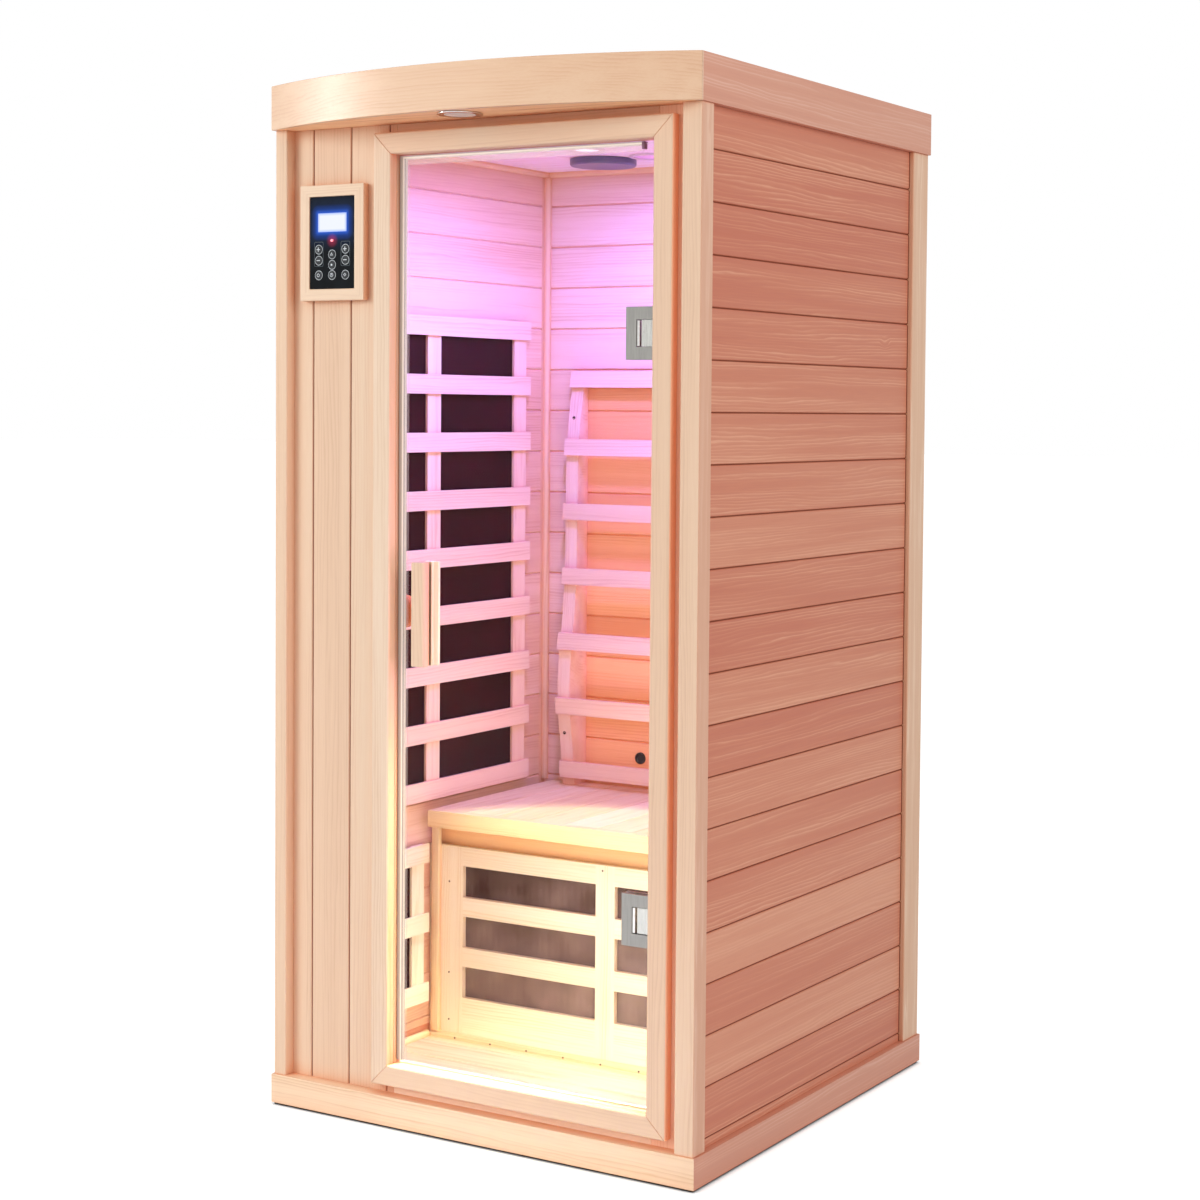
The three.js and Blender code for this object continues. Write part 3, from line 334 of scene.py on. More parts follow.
def wood_tone(tree, lay, rings, tint, vary):
    """The tone at a point, with the late edges and the fibres, which also shape the relief and the gloss."""
    ring_share = put(tree, "Math", {0: rings}, operation="FRACT").outputs[0]
    late = put(tree, "ValToRGB", {0: ring_share}, LATE_EDGE).outputs[0]
    fine = drawn_out(tree, lay, 0.025)
    fibre = put(tree, "TexNoise", {"Vector": fine, "Scale": 1000 / FIBRE_MM, "Detail": 3}).outputs[0]
    streak = put(tree, "TexNoise", {"Vector": fine, "Scale": 55, "Detail": 2}).outputs[0]
    patch = put(tree, "TexNoise", {"Vector": drawn_out(tree, lay, 0.1), "Scale": 5, "Detail": 2}).outputs[0]
    force = put(tree, "MapRange", {0: streak, 1: 0.38, 2: 0.66, 3: 0.0, 4: 0.42}).outputs[0]
    tone = put(tree, "Math", {0: tint, 1: vary, 2: 0.1 - vary / 2}, operation="MULTIPLY_ADD").outputs[0]
    for part, weight in ((late, force), (fibre, 0.3), (patch, 0.5), (streak, 0.2)):
        tone = put(tree, "Math", {0: part, 1: weight, 2: tone}, operation="MULTIPLY_ADD").outputs[0]
    return tone, late, fibre


def toned(tree, tone, tones):
    """The colour of a tone between ground, body and ring lines."""
    return put(tree, "ValToRGB", {0: tone}, list(zip(TONE_STOPS, map(linear, tones)))).outputs[0]


print("tones from ground to ring lines at", TONE_STOPS)

# %% [markdown]
# ### The recipe
# The recipe takes these steps in turn and then adds what is special to a place: dark joints between boards, a skin of
# other tones, lines of painted shade, and a tint of painted shade. In corners the light goes from wood to wood and
# takes up its orange. A few bounces of light don't show that enough, so the last step paints that orange shade into
# the colour by how closed in a place is, which the Ambient Occlusion node measures.

# %% Hemlock recipe
JOINT_MM = 1.5
JOINT_BROWN = "#8A4A32"
# Inside, the joints are drawn pale, not brown: painted light that takes out the shade in their grooves.
JOINT_PALE = "#EBC7B2"
RECESS_MM = 30
RECESS_TINT = "#F8C09C"


def hemlock(name, grain, tones, boards=None, cross=None, skin=None, knots=0.0, joint_depth=1.0, gloss=0.35,
            rough=(0.42, 0.58), recess=0.7, vary=0.2, paler=None, shade_lines=(), shade_tint=None):
    """Planed hemlock with its grain along one axis. tones are the ground, the body and the ring lines; boards is the
    axis across the boards, a joint's place and the pitch; cross is a second grain axis with the mask where it holds;
    skin is a mask with the tones that hold there; knots is the share of places with a knot; joint_depth is how dark
    the joints are, up to 1; gloss and rough are how much and how sharply the coat shines; recess is how strongly
    corners are tinted with painted shade; vary is how much the boards differ; paler is an axis with the two places
    between which the tone rises, and by how much; the last two arguments are lines of painted shade, masks with the
    colour that holds there, and a tint of painted shade, a mask with the colour that is multiplied in there."""
    material, tree, shader = start(name, Specular_IOR_Level=gloss)
    split = put(tree, "SeparateXYZ", {0: put(tree, "TexCoord", {}).outputs["Object"]}).outputs
    lay, tint = grain_place(tree, split, grain), 0.5
    if cross:
        turns = cross[1](tree, split)
        turned = grain_place(tree, split, cross[0])
        lay = put(tree, "Mix", {0: turns, 4: lay, 5: turned}, data_type="VECTOR").outputs[1]
    if boards:
        count = board_count(tree, split, *boards)
        if cross:
            count = put(tree, "Mix", {0: turns, 2: count, 3: 0.5}).outputs[0]
        lay, tint = own_cut(tree, lay, count)
    rings = ring_rise(tree, lay)
    if knots:
        rings, core = knotted(tree, lay, rings, knots)
    tone, late, fibre = wood_tone(tree, lay, rings, tint, vary)
    outer = tone
    if paler:
        axis, begin, end, rise = paler
        outer = put(tree, "MapRange", {0: split[axis], 1: begin, 2: end, 3: 0, 4: rise}).outputs[0]
        outer = put(tree, "Math", {0: outer, 1: tone}, operation="ADD").outputs[0]
    colour = toned(tree, outer, tones)
    if boards:
        edge = put(tree, "Math", {0: count, 1: 0.5}, operation="PINGPONG").outputs[0]
        gap = JOINT_MM / 1000 / boards[2]
        gap = put(tree, "MapRange", {0: edge, 1: gap, 2: 0.4 * gap, 3: 0, 4: joint_depth}).outputs[0]
        colour = put(tree, "Mix", {0: gap, 6: colour, 7: linear(JOINT_BROWN)}, data_type="RGBA").outputs[2]
    if skin:
        other = toned(tree, tone, skin[1])
        if boards:
            other = put(tree, "Mix", {0: gap, 6: other, 7: linear(JOINT_PALE)}, data_type="RGBA").outputs[2]
        colour = put(tree, "Mix", {0: skin[0](tree, split), 6: colour, 7: other}, data_type="RGBA").outputs[2]
    if shade_tint:
        colour = put(tree, "Mix", {0: shade_tint[0](tree, split), 6: colour, 7: linear(shade_tint[1])}, data_type="RGBA",
                     blend_type="MULTIPLY").outputs[2]
    for mask, dark in shade_lines:
        colour = put(tree, "Mix", {0: mask(tree, split), 6: colour, 7: linear(dark)}, data_type="RGBA").outputs[2]
    if knots:
        colour = put(tree, "Mix", {0: core, 6: colour, 7: linear(JOINT_BROWN)}, data_type="RGBA").outputs[2]
    open_air = put(tree, "AmbientOcclusion", {"Distance": RECESS_MM / 1000}, samples=4).outputs["AO"]
    closed = put(tree, "MapRange", {0: open_air, 1: 0.85, 2: 0.35, 3: 0, 4: recess}).outputs[0]
    warm = put(tree, "Mix", {0: closed, 6: colour, 7: linear(RECESS_TINT)}, data_type="RGBA", blend_type="MULTIPLY")
    tree.links.new(warm.outputs[2], shader.inputs["Base Color"])
    dull = put(tree, "MapRange", {0: fibre, 1: 0.3, 2: 0.7, 3: rough[0], 4: rough[1]}).outputs[0]
    tree.links.new(dull, shader.inputs["Roughness"])
    height = put(tree, "Math", {0: late, 1: 0.4, 2: fibre}, operation="MULTIPLY_ADD").outputs[0]
    relief = put(tree, "Bump", {"Strength": 0.18, "Distance": 0.0006, "Height": height}).outputs[0]
    tree.links.new(relief, shader.inputs["Normal"])
    return material


# %% [markdown]
# ## Where the grain turns
# One solid often stands for several boards: a frame of rails and stiles, or a ring of mitred boards. A mask tells
# the recipe where the second direction, or another tone, holds. Each mask is a small function that adds its nodes to
# the recipe's tree and gives 1 inside its place and 0 elsewhere.

# %% Masks
def within(axis, reach, centre=0):
    """A mask that is 1 nearer to a centre than a reach, both in metres."""
    return lambda tree, split: put(
        tree, "Math", {0: split[axis], 1: centre, 2: reach}, operation="COMPARE").outputs[0]


def rows(axis, first, pitch, wide):
    """A mask that is 1 on rails of one width that repeat along an axis."""
    def mask(tree, split):
        count = board_count(tree, split, axis, first, pitch)
        share = put(tree, "Math", {0: count}, operation="FRACT").outputs[0]
        return put(tree, "Math", {0: share, 1: wide / pitch}, operation="LESS_THAN").outputs[0]
    return mask


def off_centre(tree, split, axis, centre):
    """How far a point lies from a centre along an axis, in metres."""
    off = put(tree, "Math", {0: split[axis], 1: centre}, operation="SUBTRACT").outputs[0]
    return put(tree, "Math", {0: off}, operation="ABSOLUTE").outputs[0]


def mitred(*reaches):
    """A mask that is 1 past the 45 degree line from the corner where two reaches end, on the first one's side."""
    def mask(tree, split):
        ends = [put(tree, "Math", {0: off_centre(tree, split, axis, centre), 1: half}, operation="SUBTRACT").outputs[0]
                for axis, centre, half in reaches]
        return put(tree, "Math", {0: ends[0], 1: ends[1]}, operation="GREATER_THAN").outputs[0]
    return mask


def fading(axis, centre, full, gone):
    """A mask that is 1 nearer to a centre than one reach and fades to 0 at another."""
    return lambda tree, split: put(
        tree, "MapRange", {0: off_centre(tree, split, axis, centre), 1: gone, 2: full, 3: 0, 4: 1}).outputs[0]


print("masks: within, rows, mitred, fading")

# %% [markdown]
# ### Masks together
# Masks can be joined as sets are: where both hold, where either holds, or where one holds outside another. With 1 and
# 0 that is a product, a maximum and a difference that stops at 0.

# %% Joined masks
def joined(operation, first, *others):
    """A mask made of several by one operation, taken in turn."""
    def mask(tree, split):
        shared = first(tree, split)
        for other in others:
            shared = put(tree, "Math", {0: shared, 1: other(tree, split)}, operation=operation,
                         use_clamp=True).outputs[0]
        return shared
    return mask


def both(*masks):
    """A mask that is 1 where all the given masks are."""
    return joined("MULTIPLY", *masks)


def either(*masks):
    """A mask that is 1 where one of the given masks is."""
    return joined("MAXIMUM", *masks)


def outside(first, second):
    """A mask that is 1 where the first mask is and the second isn't."""
    return joined("SUBTRACT", first, second)


print("joined masks: both, either, outside")

# %% [markdown]
# ## Boards of the cabin
# A board that has been through the planer still has its sharp arrises taken off by hand, or it would splinter. The
# solids have square edges, so each board is copied, its loose triangles are merged, flat faces are joined and the
# sharp edges are bevelled by about a millimetre. That small round catches the light along every edge. Smooth shading
# alone would make the broad faces look like pillows, so the Weighted Normal modifier lets the broadest face at each
# corner decide. The copy then stands for the solid in the picture.

# %% Easing a board
def level(piece, angle):
    """Smooths a piece's rounded edges and keeps the broad faces beside them level in the light."""
    bpy.ops.object.shade_smooth_by_angle(angle=radians(angle))
    bpy.ops.object.modifier_add(type="WEIGHTED_NORMAL")
    piece.modifiers[-1].keep_sharp = True
    bpy.ops.object.modifier_apply(modifier=piece.modifiers[-1].name)


def dress(piece, material, body):
    """Gives a piece its finish and says what it rides on."""
    piece.data.materials.clear()
    piece.data.materials.append(material)
    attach(piece, body)


def eased(node, ease_mm, material, steps=2):
    """A copy of a solid with its edges rounded, which rides and is finished as the solid was."""
    solid = frame["nodes"][node]
    bpy.ops.object.select_all(action="DESELECT")
    piece = bpy.data.objects.new(node + "_eased", solid.data.copy())
    bpy.context.scene.collection.objects.link(piece)
    bpy.context.view_layer.objects.active = piece
    piece.select_set(True)
    bpy.ops.object.mode_set(mode="EDIT")
    bpy.ops.mesh.select_mode(type="EDGE")
    bpy.ops.mesh.select_all(action="SELECT")
    bpy.ops.mesh.remove_doubles(threshold=0.00001)
    bpy.ops.mesh.customdata_custom_splitnormals_clear()
    bpy.ops.mesh.dissolve_limited(angle_limit=radians(0.2))
    bpy.ops.mesh.select_all(action="DESELECT")
    bpy.ops.mesh.edges_select_sharp(sharpness=radians(25))
    bpy.ops.mesh.bevel(offset=ease_mm / 1000, segments=steps, clamp_overlap=True, affect="EDGES")
    bpy.ops.object.mode_set(mode="OBJECT")
    level(piece, 30)
    dress(piece, material, solid["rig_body"])
    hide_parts(node)
    return piece


print("helpers: level, dress, eased")

# %% [markdown]
# ## Doorway
# A mitred casing frames the door, its edges well rounded. Light from the room strikes the edge that faces the glass,
# and in the narrow gap beside the right post light goes from wood to wood, so those two edges have warmer tones. Sill
# and stile lie deep behind the casing. They are drawn paler, because the studio's few bounces of light leave them
# darker than they are.

# %% Header, sill, stile and casing
FRONT_TONES = ("#EBCCB0", "#E7C3A6", "#DCB598")
# The casing's left upright is drawn paler than the rest of the casing: painted light, for the brighter left side.
CASING_TONES = ("#EDD5BE", "#E8CAB0", "#DBB799")
front_level = hemlock("hemlock_front_level", "X", FRONT_TONES)
sill_wood = hemlock("hemlock_sill", "X", ("#FFEAD4", "#FFE0C4", "#F2CAA8"), recess=0.2)
stile_wood = hemlock("hemlock_stile", "Z", ("#FFDCC0", "#FFD0B0", "#F4BC98"), recess=0.3)
casing_upright = hemlock("hemlock_casing_upright", "Z", CASING_TONES,
                         skin=(within("X", 0.0015, -0.191), ("#FFDEC2", "#FFD0AE", "#F7BD96")))
casing_beside_post = hemlock("hemlock_casing_right", "Z", FRONT_TONES, recess=0.4,
                             skin=(within("X", 0.0015, 0.399), ("#FFD2B0", "#FFC6A0", "#F6B088")))
for name, wood in (("header", front_level), ("sill", sill_wood), ("stile", stile_wood)):
    eased("front_" + name, 1.2, wood)
for name, wood in (("top", front_level), ("bottom", front_level), ("left", casing_upright),
                   ("right", casing_beside_post)):
    eased("casing_" + name, 2.5, wood, 3)

# %% [markdown]
# ## Posts, plinth and roof boards
# The front has the palest boards. The outer sides of the front posts are drawn redder and darker: partly a redder
# cut, partly painted shade of the sides. The plinth and the roof's plain boards are rings that are mitred at the
# corners, so their grain turns there, and their sides take redder tones with painted shade in them too. The plinth is
# paler than the front boards, as painted light from the floor below. It stands on a set-back foot that lies in deep
# shade and is drawn nearly black. The bowed board is sanded finer than the rest and has more coat, which gives it its
# sheen.

# %% Posts, plinth and roof boards
RING_MITRE = mitred(("X", 0, 0.460), ("Y", 0, 0.451))
# Tones for the side faces: a redder cut, darkened further as painted shade.
SIDE_BOARD_TONES = ("#D0907A", "#D99C84", "#E6B49F")
FOOT_DARK = "#2A1C16"
front_post = hemlock("hemlock_front_post", "Z", ("#D8A084", "#DFAC90", "#EAC0A6"),
                     skin=(within("X", 0.4545), FRONT_TONES))
# The plinth's tones are paler than the front's, as painted light from the floor; its foot is painted shade.
plinth_wood = hemlock("hemlock_plinth", "X", ("#F8DABB", "#F4D0B0", "#E4B995"), cross=("Y", RING_MITRE),
                      skin=(RING_MITRE, SIDE_BOARD_TONES), shade_lines=((within("Z", 0.0041), FOOT_DARK),))
ring_wood = hemlock("hemlock_ring", "X", FRONT_TONES, cross=("Y", RING_MITRE), skin=(RING_MITRE, SIDE_BOARD_TONES))
fascia_wood = hemlock("hemlock_fascia", "X", ("#E9C4A4", "#E4BA98", "#DCAC8A"), gloss=0.7, rough=(0.28, 0.36))
for name, wood in (("post_front_left", front_post), ("post_front_right", front_post), ("base_plinth", plinth_wood),
                   ("fascia_rim", ring_wood), ("fascia_front", fascia_wood)):
    eased(name, 1.2, wood)

# %% [markdown]
# ## Boards beside the door
# Four upright boards fill the front to the left of the door, and a small mitred frame on them carries the control
# panel. The boards' joints are in the solid as grooves, so here they only need their brown.

# %% Front boards and panel surround
front_field = hemlock("hemlock_front_boards", "Z", FRONT_TONES, boards=("X", -0.384, 0.088), knots=0.1)
surround_wood = hemlock("hemlock_surround", "X", ("#F0D6BC", "#ECCDB1", "#E2BFA4"),
                        cross=("Z", mitred(("X", -0.3295, 0.074), ("Z", 1.610, 0.1055))))
eased("front_boards", 0.8, front_field)
eased("control_surround", 1.5, surround_wood)

# %% [markdown]
# ## Walls
# The walls are lying tongue-and-groove boards. Outside they are a warmer, redder cut of hemlock that has been
# coated, and their tones are darkened further as painted shade of the cabin's sides; inside they are left pale. One
# recipe gives both: it looks how far a point lies from the middle of the cabin and takes the inside tones where that
# is less than the middle of the wall. The lower boards outside come from a paler batch. Where the side boards end at
# the rear post, the gap and the shadow in that corner are painted as one dark line, and behind the backrest the back
# wall is tinted orange as painted shade of the slats.

# %% Walls and rear posts
COURSE = 0.088
# Outer wall tones: a redder cut, darkened further as painted shade.
SIDE_TONES = ("#C6735A", "#D08468", "#E2A284")
LOW_BOARDS = ("Z", 0.518, 0.510, 0.1)
# The gap at the rear post and the shadow in that corner, painted as one dark line.
BOARD_END_SHADE = "#7E3F2A"
SIDE_INSIDE, BACK_INSIDE = within("X", 0.4345), within("Y", 0.4125)
REAR_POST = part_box("post_rear_right")[0][1]
# Behind the backrest the back wall is tinted orange: painted shade of the slats in warm light thrown back by the wood.
BEHIND_BACKREST = both(BACK_INSIDE, fading("X", 0, 0.30, 0.34), fading("Z", 0.93, 0.43, 0.46))
side_boards = hemlock("hemlock_side_boards", "Y", SIDE_TONES, boards=("Z", 1.746, COURSE), knots=0.22, vary=0.34,
                      skin=(SIDE_INSIDE, ("#F1D0BC", "#E8C1A8", "#DAAA92")), paler=LOW_BOARDS, recess=0.3,
                      shade_lines=((outside(within("Y", 0.005, REAR_POST), SIDE_INSIDE), BOARD_END_SHADE),))
back_boards = hemlock("hemlock_back_boards", "X", SIDE_TONES, boards=("Z", 1.746, COURSE), knots=0.22, vary=0.34,
                      skin=(BACK_INSIDE, ("#F3D9D0", "#EACABC", "#DCB3A6")), paler=LOW_BOARDS,
                      shade_tint=(BEHIND_BACKREST, "#F1DDBA"))
rear_upright = hemlock("hemlock_rear_upright", "Z", ("#D9AC8E", "#E4BA9B", "#EFCDB2"))
for name, wood in (("left", side_boards), ("right", side_boards), ("back", back_boards)):
    eased("wall_" + name, 0.7, wood)
for name in ("left", "right"):
    eased("post_rear_" + name, 1.2, rear_upright)
print("wall boards:", round((1.819 - 0.058) / COURSE), "courses")

# %% [markdown]
# ## Bench and floor
# Seat and floor are bare sanded hemlock, which stays cool to the touch. The seat's boards run from front to back and
# end in a lip with its grain across. The rail under the lip is drawn in pale, warm tones: painted light for the warm
# light that the seat throws down on it.

# %% Seat, floor and what carries the seat
BENCH_TONES = ("#F6E6CB", "#EFDAB8", "#E2C49C")
seat_boards = hemlock("hemlock_seat", "Y", ("#F1E0BC", "#EAD4AA", "#DDBE8E"), boards=("X", -0.395, 0.079),
                      joint_depth=0.2, cross=("X", within("Y", 0.018, -0.055)))
floor_boards = hemlock("hemlock_floor", "X", ("#FAF0DC", "#F4E6CA", "#E8D0AA"), boards=("Y", -0.407, 0.090),
                       joint_depth=0.3)
rail_wood = hemlock("hemlock_bench_rail", "X", ("#FFDDAE", "#FDD09E", "#F0BA86"), recess=0.2)
bench_level = hemlock("hemlock_bench_level", "X", BENCH_TONES, recess=0.2)
eased("bench_seat", 0.9, seat_boards)
eased("floor_panel", 0.8, floor_boards)
eased("bench_front_rail", 1.5, rail_wood)
eased("bench_back_cleat", 1.5, bench_level)

# %% [markdown]
# ## Guards and backrest
# Wooden guards keep skin off the heaters, and slats on two shaped stringers make the backrest. Rails and slats have
# their grain along their length and the uprights theirs, so the masks say where the rails are.

# %% Guards and backrest
# The calf and leg guards are drawn paler than the bench, as painted light from the bright floor.
CALF_TONES = ("#FBF5E6", "#F6EDD8", "#EBDBBE")
calf_wood = hemlock("hemlock_calf_guard", "Z", CALF_TONES, recess=0.3, cross=(
    "X", either(within("X", 0.159, 0.181), within("X", 0.159, -0.181))))
side_rails = hemlock("hemlock_side_guard", "Z", ("#F6E2D2", "#F0D5C3", "#E2BFAB"), cross=(
    "Y", rows("Z", 0.519, 0.117, 0.039)))
leg_rails = hemlock("hemlock_leg_guard", "Z", CALF_TONES, recess=0.3, cross=("Y", rows("Z", 0.111, 0.141, 0.039)))
back_slats = hemlock("hemlock_backrest", "Z", ("#F6DCD4", "#EECEC2", "#E0B8AA"), cross=(
    "X", either(rows("Z", 0.521, 0.138, 0.035), within("X", 0.313))))
eased("calf_guard", 1.0, calf_wood)
backrest = eased("backrest", 1.5, back_slats)
for side in ("left", "right"):
    eased("side_guard_" + side, 1.2, side_rails)
    eased("leg_guard_" + side, 1.2, leg_rails)

# %% [markdown]
# ## Ceiling, soffit and handles
# The ceiling is drawn in the palest tones of the room, with a violet cast: painted light, as the lamps reach it
# only by bounces. Its front strip shows under the bow, in the same warm shade as the soffit, so it takes the soffit's
# tones. The pull bars are oiled by hands, and the round stop behind the door's free edge is a darker, redder piece of
# dowel.

# %% Ceiling, soffit, pull bars and stop
# The soffit's tones are paler than the front boards': painted light, since the bow's shade leaves it darker than it
# is.
SOFFIT_TONES = ("#FFDCB0", "#FCC698", "#E2A478")
ceiling_wood = hemlock("hemlock_ceiling", "X", ("#FCF4FF", "#F8ECF8", "#ECD4DC"), recess=0.4,
                       skin=(within("Y", 0.06, -0.467), SOFFIT_TONES))
soffit_wood = hemlock("hemlock_soffit", "X", SOFFIT_TONES)
outer_bar = hemlock("hemlock_front_upright", "Z", FRONT_TONES)
inner_bar = hemlock("hemlock_inner_handle", "Z", ("#FFEFD8", "#FBE3C4", "#EFCFA8"), recess=0.3)
stop_wood = hemlock("hemlock_stop", "Z", ("#E39468", "#D58257", "#B5623E"))
eased("ceiling_panel", 0.8, ceiling_wood)
eased("visor_soffit", 0.8, soffit_wood)
for name, wood in (("handle_outer", outer_bar), ("handle_inner", inner_bar), ("door_stop", stop_wood)):
    eased(name, 1.5, wood)

# %% [markdown]
# ## The cabin's own lamps
# The cabin is shown with its lamps on: a colour lamp on the ceiling washes the upper room in violet, and a white
# reading lamp shines down on the bench, the calf guard and the floor. Behind the slats of the backrest the heater's
# glow colours the wall orange. Emitting meshes would do all this too, but area lamps give the same light with less
# grain in the picture. The five weak lamps stand for light that goes from wood to wood: off the door's side of the
# room, up from the seat, and on to the calf guard, the leg guard and the casing's inner edge. A path tracer finds
# little of that light, because the pane swallows it.

# %% Lamps in the room
# Each lamp's place and target in metres, its size in metres, power in watts, colour and spread in degrees.
ROOM_LAMPS = {
    "violet_lamp": ((-0.03, -0.09, 1.80), (-0.03, -0.06, 0), 0.08, 9.6, "#9A88FF"),
    "back_violet": ((0.06, 0.21, 1.80), (0.04, 0.20, 0), 0.10, 3.1, "#8E80FF"),
    "reading_lamp": ((-0.03, -0.22, 1.80), (0.02, -0.17, 0), 0.05, 8.6, "#F8FFD2", 34),
    "door_light": ((0.30, -0.36, 0.88), (-0.42, 0.10, 0.86), 0.30, 2.2, "#FFC8EC"),
    "seat_glow": ((0.0, 0.05, 0.64), (-0.30, 0.25, 1.1), 0.22, 0.55, "#FFE2B4"),
    "calf_light": ((0.0, -0.36, 0.30), (0.0, 0.0, 0.32), 0.35, 0.6, "#FFEBD2"),
    "leg_light": ((0.15, -0.24, 0.22), (-0.42, -0.22, 0.25), 0.25, 0.5, "#FFF0C8"),
    "sill_light": ((0.02, -0.435, 0.40), (-0.19, -0.435, 0.40), 0.02, 0.25, "#FFE7A8", 80),
    "glow_lamp": ((0.0, 0.383, 0.95), (0, 0.40, 0.95), 0.62, 0.60, "#FFA238"),
}
LAMP_HEIGHTS = {"sill_light": 0.60, "glow_lamp": 0.86}
for name, settings in ROOM_LAMPS.items():
    lamp = soft_box(name, *settings)
    if name in LAMP_HEIGHTS:
        lamp.data.shape = "RECTANGLE"
        lamp.data.size_y = LAMP_HEIGHTS[name]
print("room lamps:", {name: settings[3] for name, settings in ROOM_LAMPS.items()}, "W")

# %% [markdown]
# ## Heater panels
# The heaters are thin carbon film panels behind the guards: nearly black, smooth, with faint upright bands where
# the film's strips lie side by side under a clear cover. The calf panel is the same film, drawn paler, and paler
# still downwards and a little to the right, as painted light and reflection from the lit floor and the white lamp.

# %% Carbon film
STRIP_MM = 15


def film(name, dark, pale, fade=(0, 0, 0), lift=0.0):
    """Carbon film with faint upright strips; fade is how fast painted light pales it along each axis, lift where it
    starts.
    """
    material, tree, shader = start(name, IOR=1.5, Specular_IOR_Level=0.06)
    place = put(tree, "TexCoord", {}).outputs["Object"]
    split = put(tree, "SeparateXYZ", {0: place}).outputs
    along = put(tree, "Math", {0: split["X"], 1: split["Y"]}, operation="ADD").outputs[0]
    strip = put(tree, "Math", {0: along, 1: 1000 / STRIP_MM}, operation="MULTIPLY").outputs[0]
    strip = put(tree, "Math", {0: strip, 1: 0.5}, operation="PINGPONG").outputs[0]
    cloud = put(tree, "TexNoise", {"Vector": place, "Scale": 12, "Detail": 3}).outputs[0]
    tone = put(tree, "Math", {0: strip, 1: 0.1, 2: cloud}, operation="MULTIPLY_ADD").outputs[0]
    tone = put(tree, "Math", {0: tone, 1: lift}, operation="ADD").outputs[0]
    painted_lift = put(tree, "VectorMath", {0: place, 1: fade}, operation="DOT_PRODUCT").outputs["Value"]
    tone = put(tree, "Math", {0: tone, 1: painted_lift}, operation="ADD").outputs[0]
    colour = put(tree, "ValToRGB", {0: tone}, [(0.2, linear(dark)), (1.0, linear(pale))]).outputs[0]
    tree.links.new(colour, shader.inputs["Base Color"])
    rough = put(tree, "MapRange", {0: cloud, 3: 0.34, 4: 0.46}).outputs[0]
    tree.links.new(rough, shader.inputs["Roughness"])
    return material


carbon = film("carbon_film", "#1E080C", "#3C151C")
# The calf film's paler tones and their rise downwards are painted light.
lit_calf_carbon = film("carbon_film_calf", "#402A26", "#9C8886", (0.4, 0, -1.6), 0.5)


def finish_nodes(material, *names):
    """Puts one finish on solids that stay as they are."""
    for name in names:
        frame["nodes"][name].data.materials.clear()
        frame["nodes"][name].data.materials.append(material)


finish_nodes(carbon, "side_heater_left", "side_heater_right", "leg_heater_left", "leg_heater_right")
finish_nodes(lit_calf_carbon, "calf_heater")
print("film strips", STRIP_MM, "mm wide")

# %% [markdown]
# ## Glass door
# The door is one pane of tempered float glass. It is clear, with the faint green that iron gives it, and its surface
# waves by a hair from the tempering rollers. Float glass has an index of 1.5, but this studio is white all round and
# would lie over the whole pane as a grey veil, which the picture doesn't have, so the index is brought down. A real
# pane lets lamplight through, while a path tracer treats a glass slab as a lens and loses that light, so shadow rays
# meet a clear film instead. The lower edge is ground, so it is pale and dull.

# %% Clear tempered glass
glass, tree, shader = start("tempered_float_glass", Transmission_Weight=1.0, IOR=1.12, Roughness=0.0)
place = put(tree, "TexCoord", {}).outputs["Object"]
cloud = put(tree, "TexNoise", {"Vector": place, "Scale": 2.5, "Detail": 1}).outputs[0]
tone = put(tree, "ValToRGB", {0: cloud}, [(0.3, linear("#FAFDFB")), (0.7, linear("#FDFEFD"))])
tree.links.new(tone.outputs[0], shader.inputs["Base Color"])
clear = put(tree, "BsdfTransparent", {0: linear("#F7FAF8")})
shadow = put(tree, "LightPath", {}).outputs["Is Shadow Ray"]
pane = put(tree, "MixShader", {0: shadow, 1: shader.outputs[0], 2: clear.outputs[0]})
down = put(tree, "SeparateXYZ", {0: put(tree, "TexCoord", {}).outputs["Normal"]}).outputs["Z"]
down = put(tree, "Math", {0: down}, operation="ABSOLUTE").outputs[0]
sole = put(tree, "Math", {0: down, 1: 0.5}, operation="GREATER_THAN").outputs[0]
ground_edge = put(tree, "BsdfDiffuse", {0: linear("#E2E8E0")})
pane = put(tree, "MixShader", {0: sole, 1: pane.outputs[0], 2: ground_edge.outputs[0]})
tree.links.new(pane.outputs[0], tree.nodes["Material Output"].inputs["Surface"])
finish_nodes(glass, "door_glass")

# %% [markdown]
# ## Speckled finishes
# Cast metal, paint and moulded plastic look plain, yet none of them is one even colour. One noise of the true size of
# their grit drives tone, gloss and relief together, because on the real surface all three come from the same bumps.
# Drawn out along one axis, the same noise becomes brushing.

# %% Speckled recipe
def speckled(name, low, high, size_mm, rough, relief=0.05, stretch=(1, 1, 1), **sockets):
    """A finish whose tone, gloss and relief follow one noise of a given size; stretch draws it out into brushing."""
    material, tree, shader = start(name, **sockets)
    place = put(tree, "TexCoord", {}).outputs["Object"]
    drawn = put(tree, "VectorMath", {0: place, 1: stretch}, operation="MULTIPLY").outputs[0]
    grit = put(tree, "TexNoise", {"Vector": drawn, "Scale": 1000 / size_mm, "Detail": 3}).outputs[0]
    tone = put(tree, "ValToRGB", {0: grit}, [(0.3, linear(low)), (0.7, linear(high))]).outputs[0]
    tree.links.new(tone, shader.inputs["Base Color"])
    gloss = put(tree, "MapRange", {0: grit, 1: 0.3, 2: 0.7, 3: rough[0], 4: rough[1]}).outputs[0]
    tree.links.new(gloss, shader.inputs["Roughness"])
    bump = put(tree, "Bump", {"Strength": relief, "Distance": 0.0005, "Height": grit}).outputs[0]
    tree.links.new(bump, shader.inputs["Normal"])
    return material


print("recipe: speckled")

